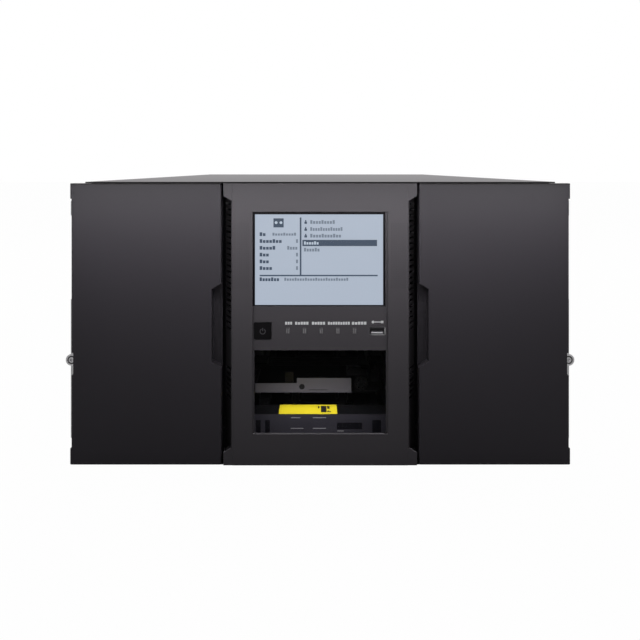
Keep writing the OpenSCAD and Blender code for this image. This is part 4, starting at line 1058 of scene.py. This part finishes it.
class BuildStage(bpy.types.Operator):
    """Set the floor, the surrounding light, the lamps and the camera"""

    bl_idname = "tape_library.build_stage"
    bl_label = "Build the stage"

    white = (1, 1, 1)

    def execute(self, context):
        scene = context.scene
        settings = scene.tape_library_stage
        scene.view_settings.view_transform = "Standard"
        self.lay_floor(scene)
        self.light_world(scene, settings.ambient)
        self.hang_lamps(scene, settings)
        self.place_camera(scene, settings)
        return {"FINISHED"}

    def lay_floor(self, scene):
        """A floor that looks nearly white from the camera and still lights the object as a pale one."""
        half_size, below_feet = 14.0, 0.3 * MM
        bm = bmesh.new()
        bmesh.ops.create_grid(bm, x_segments=1, y_segments=1, size=half_size)
        bmesh.ops.translate(bm, vec=(0, 0, cad_box[0][2] - below_feet), verts=bm.verts)
        mesh = bpy.data.meshes.new("floor")
        bm.to_mesh(mesh)
        bm.free()
        floor = bpy.data.objects.new("floor", mesh)
        scene.collection.objects.link(floor)
        material = bpy.data.materials.new("Pale floor")
        nodes, links = start_tree(material)
        output = nodes.new("ShaderNodeOutputMaterial")
        pale = add_shader(nodes, "ShaderNodeBsdfDiffuse", (0.6, 0.6, 0.6))
        glow = add_shader(nodes, "ShaderNodeEmission", self.white, 1.0)
        rays = nodes.new("ShaderNodeLightPath").outputs
        glow_share = 0.985
        share = add_math(nodes, links, "MULTIPLY", rays["Is Camera Ray"], glow_share)
        mix_shaders(nodes, links, share, pale, glow, output)
        floor.data.materials.append(material)

    def light_world(self, scene, strength):
        """A white ground behind the object, and surrounding light of the given strength."""
        world = bpy.data.worlds.new("Studio")
        scene.world = world
        nodes, links = start_tree(world)
        output = nodes.new("ShaderNodeOutputWorld")
        seen = add_shader(nodes, "ShaderNodeBackground", self.white, 1.0)
        ambient = add_shader(nodes, "ShaderNodeBackground", self.white, strength)
        rays = nodes.new("ShaderNodeLightPath").outputs
        direct = add_math(nodes, links, "MAXIMUM", rays["Is Camera Ray"], rays["Is Transmission Ray"])
        mix_shaders(nodes, links, direct, ambient, seen, output)

    def hang_lamps(self, scene, settings):
        """The key, top and strip lamps, one at each side and behind, and a small one over the beam."""
        self.hang_lamp(scene, "key lamp", place=(0, FRONT_Y - 1.5, 0.95), size=(1.4, 0.6),
                       target=(0, FRONT_Y, 0.1), power=settings.key)
        self.hang_lamp(scene, "top lamp", place=(0, 0.1, 1.9), size=(1.6, 1.6), target=(0, 0, 0.2),
                       power=settings.fill)
        self.hang_lamp(scene, "strip lamp", place=(0, FRONT_Y - 0.08, 0.2585), size=(0.56, 0.006),
                       target=(0, FRONT_Y, 0.14), power=settings.strip)
        beside = 1.9
        around = {
            "left lamp": (-beside, 0.15, 0.45),
            "right lamp": (beside, 0.15, 0.45),
            "rear lamp": (0, 2.2, 0.55),
        }
        for name, place in around.items():
            self.hang_lamp(scene, name, place, size=(1.2, 0.8), target=(0, 0.1, 0.13), power=settings.around)
        self.hang_lamp(scene, "inner lamp", place=front_point(-4, 20, 104), size=(0.11, 0.004),
                       target=front_point(-4, 62, 32), power=settings.inner, spread=75)

    @staticmethod
    def hang_lamp(scene, name, place, size, target, power, spread=180):
        """A rectangular lamp at a place, facing a target; the spread of its light is in degrees."""
        lamp_data = bpy.data.lights.new(name, "AREA")
        lamp_data.shape = "RECTANGLE"
        lamp_data.size, lamp_data.size_y = size
        lamp_data.energy = power
        lamp_data.spread = math.radians(spread)
        lamp = bpy.data.objects.new(name, lamp_data)
        lamp.location = place
        lamp.visible_camera = False
        aim = Vector(target) - Vector(place)
        lamp.rotation_euler = aim.to_track_quat("-Z", "Y").to_euler()
        scene.collection.objects.link(lamp)

    @staticmethod
    def place_camera(scene, settings):
        """A level camera before the front, shifted down so that upright edges stay upright."""
        camera_data = bpy.data.cameras.new("camera")
        camera_data.lens = settings.lens
        camera_data.sensor_width = 36.0
        camera_data.shift_x = 0.01156
        camera_data.shift_y = -0.237
        camera_data.clip_start = 10 * MM
        camera = bpy.data.objects.new("camera", camera_data)
        left_of_middle = 7 * MM
        camera.location = (-left_of_middle, FRONT_Y - settings.distance, settings.height)
        camera.rotation_euler = (math.radians(90), 0, 0)
        scene.collection.objects.link(camera)
        scene.camera = camera


class LimitStripLamp(bpy.types.Operator):
    """Let the strip lamp light the front only, so that slid-out magazines pass under it unlit"""

    bl_idname = "tape_library.limit_strip_lamp"
    bl_label = "Limit the strip lamp"

    front_nodes = (
        "left_door", "right_door", "fascia_bezel", "display_frame", "lcd_panel", "display_glass",
        "window_pane", "power_button", "led_light_pipes", "usb_port", "rack_screws",
    )
    front_pieces = (
        "painted_screw_shade", "control_strip_marks", "port_tongue_and_highlights", "window_ledge_highlight", "channel_end_highlights",
        "power_symbol", "status_light_lenses", "screen_headings", "screen_values", "screen_highlight",
    )

    def execute(self, context):
        front = bpy.data.collections.new("Front pieces")
        for node in self.front_nodes:
            front.objects.link(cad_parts[node])
        for name in self.front_pieces:
            front.objects.link(PIECES[name])
        bpy.data.objects["strip lamp"].light_linking.receiver_collection = front
        return {"FINISHED"}


class TapeLibraryPanel(bpy.types.Panel):
    """Lists the steps that dress the tape library"""

    bl_idname = "VIEW3D_PT_tape_library"
    bl_label = "Tape Library"
    bl_space_type = "VIEW_3D"
    bl_region_type = "UI"
    bl_category = "Tape Library"

    def draw(self, context):
        for operator in OPERATORS:
            self.layout.operator(operator.bl_idname)
        for settings in SETTINGS:
            box = self.layout.box()
            group = getattr(context.scene, settings)
            for name in SETTINGS[settings].__annotations__:
                box.prop(group, name)


SETTINGS = {
    "tape_library_front": FrontFinish,
    "tape_library_screen": ScreenLayout,
    "tape_library_metal": MetalFinish,
    "tape_library_stage": StageSettings,
}
OPERATORS = (
    BuildStage,
    DressChassis,
    DressFront,
    DressMagazines,
    DressRobot,
    DressRear,
    BuildScreen,
    PrintControlStrip,
    FitLightLenses,
    MarkLabelPlate,
    FitRobotDetails,
    LimitStripLamp,
)


def register():
    for group in SETTINGS.values():
        bpy.utils.register_class(group)
    for name, group in SETTINGS.items():
        setattr(bpy.types.Scene, name, bpy.props.PointerProperty(type=group))
    for operator in OPERATORS:
        bpy.utils.register_class(operator)
    bpy.utils.register_class(TapeLibraryPanel)


def unregister():
    bpy.utils.unregister_class(TapeLibraryPanel)
    for operator in reversed(OPERATORS):
        bpy.utils.unregister_class(operator)
    for name, group in SETTINGS.items():
        delattr(bpy.types.Scene, name)
        bpy.utils.unregister_class(group)


def main():
    register()
    for operator in OPERATORS:
        group, name = operator.bl_idname.split(".")
        getattr(getattr(bpy.ops, group), name)()


if __name__ == "__main__":
    main()
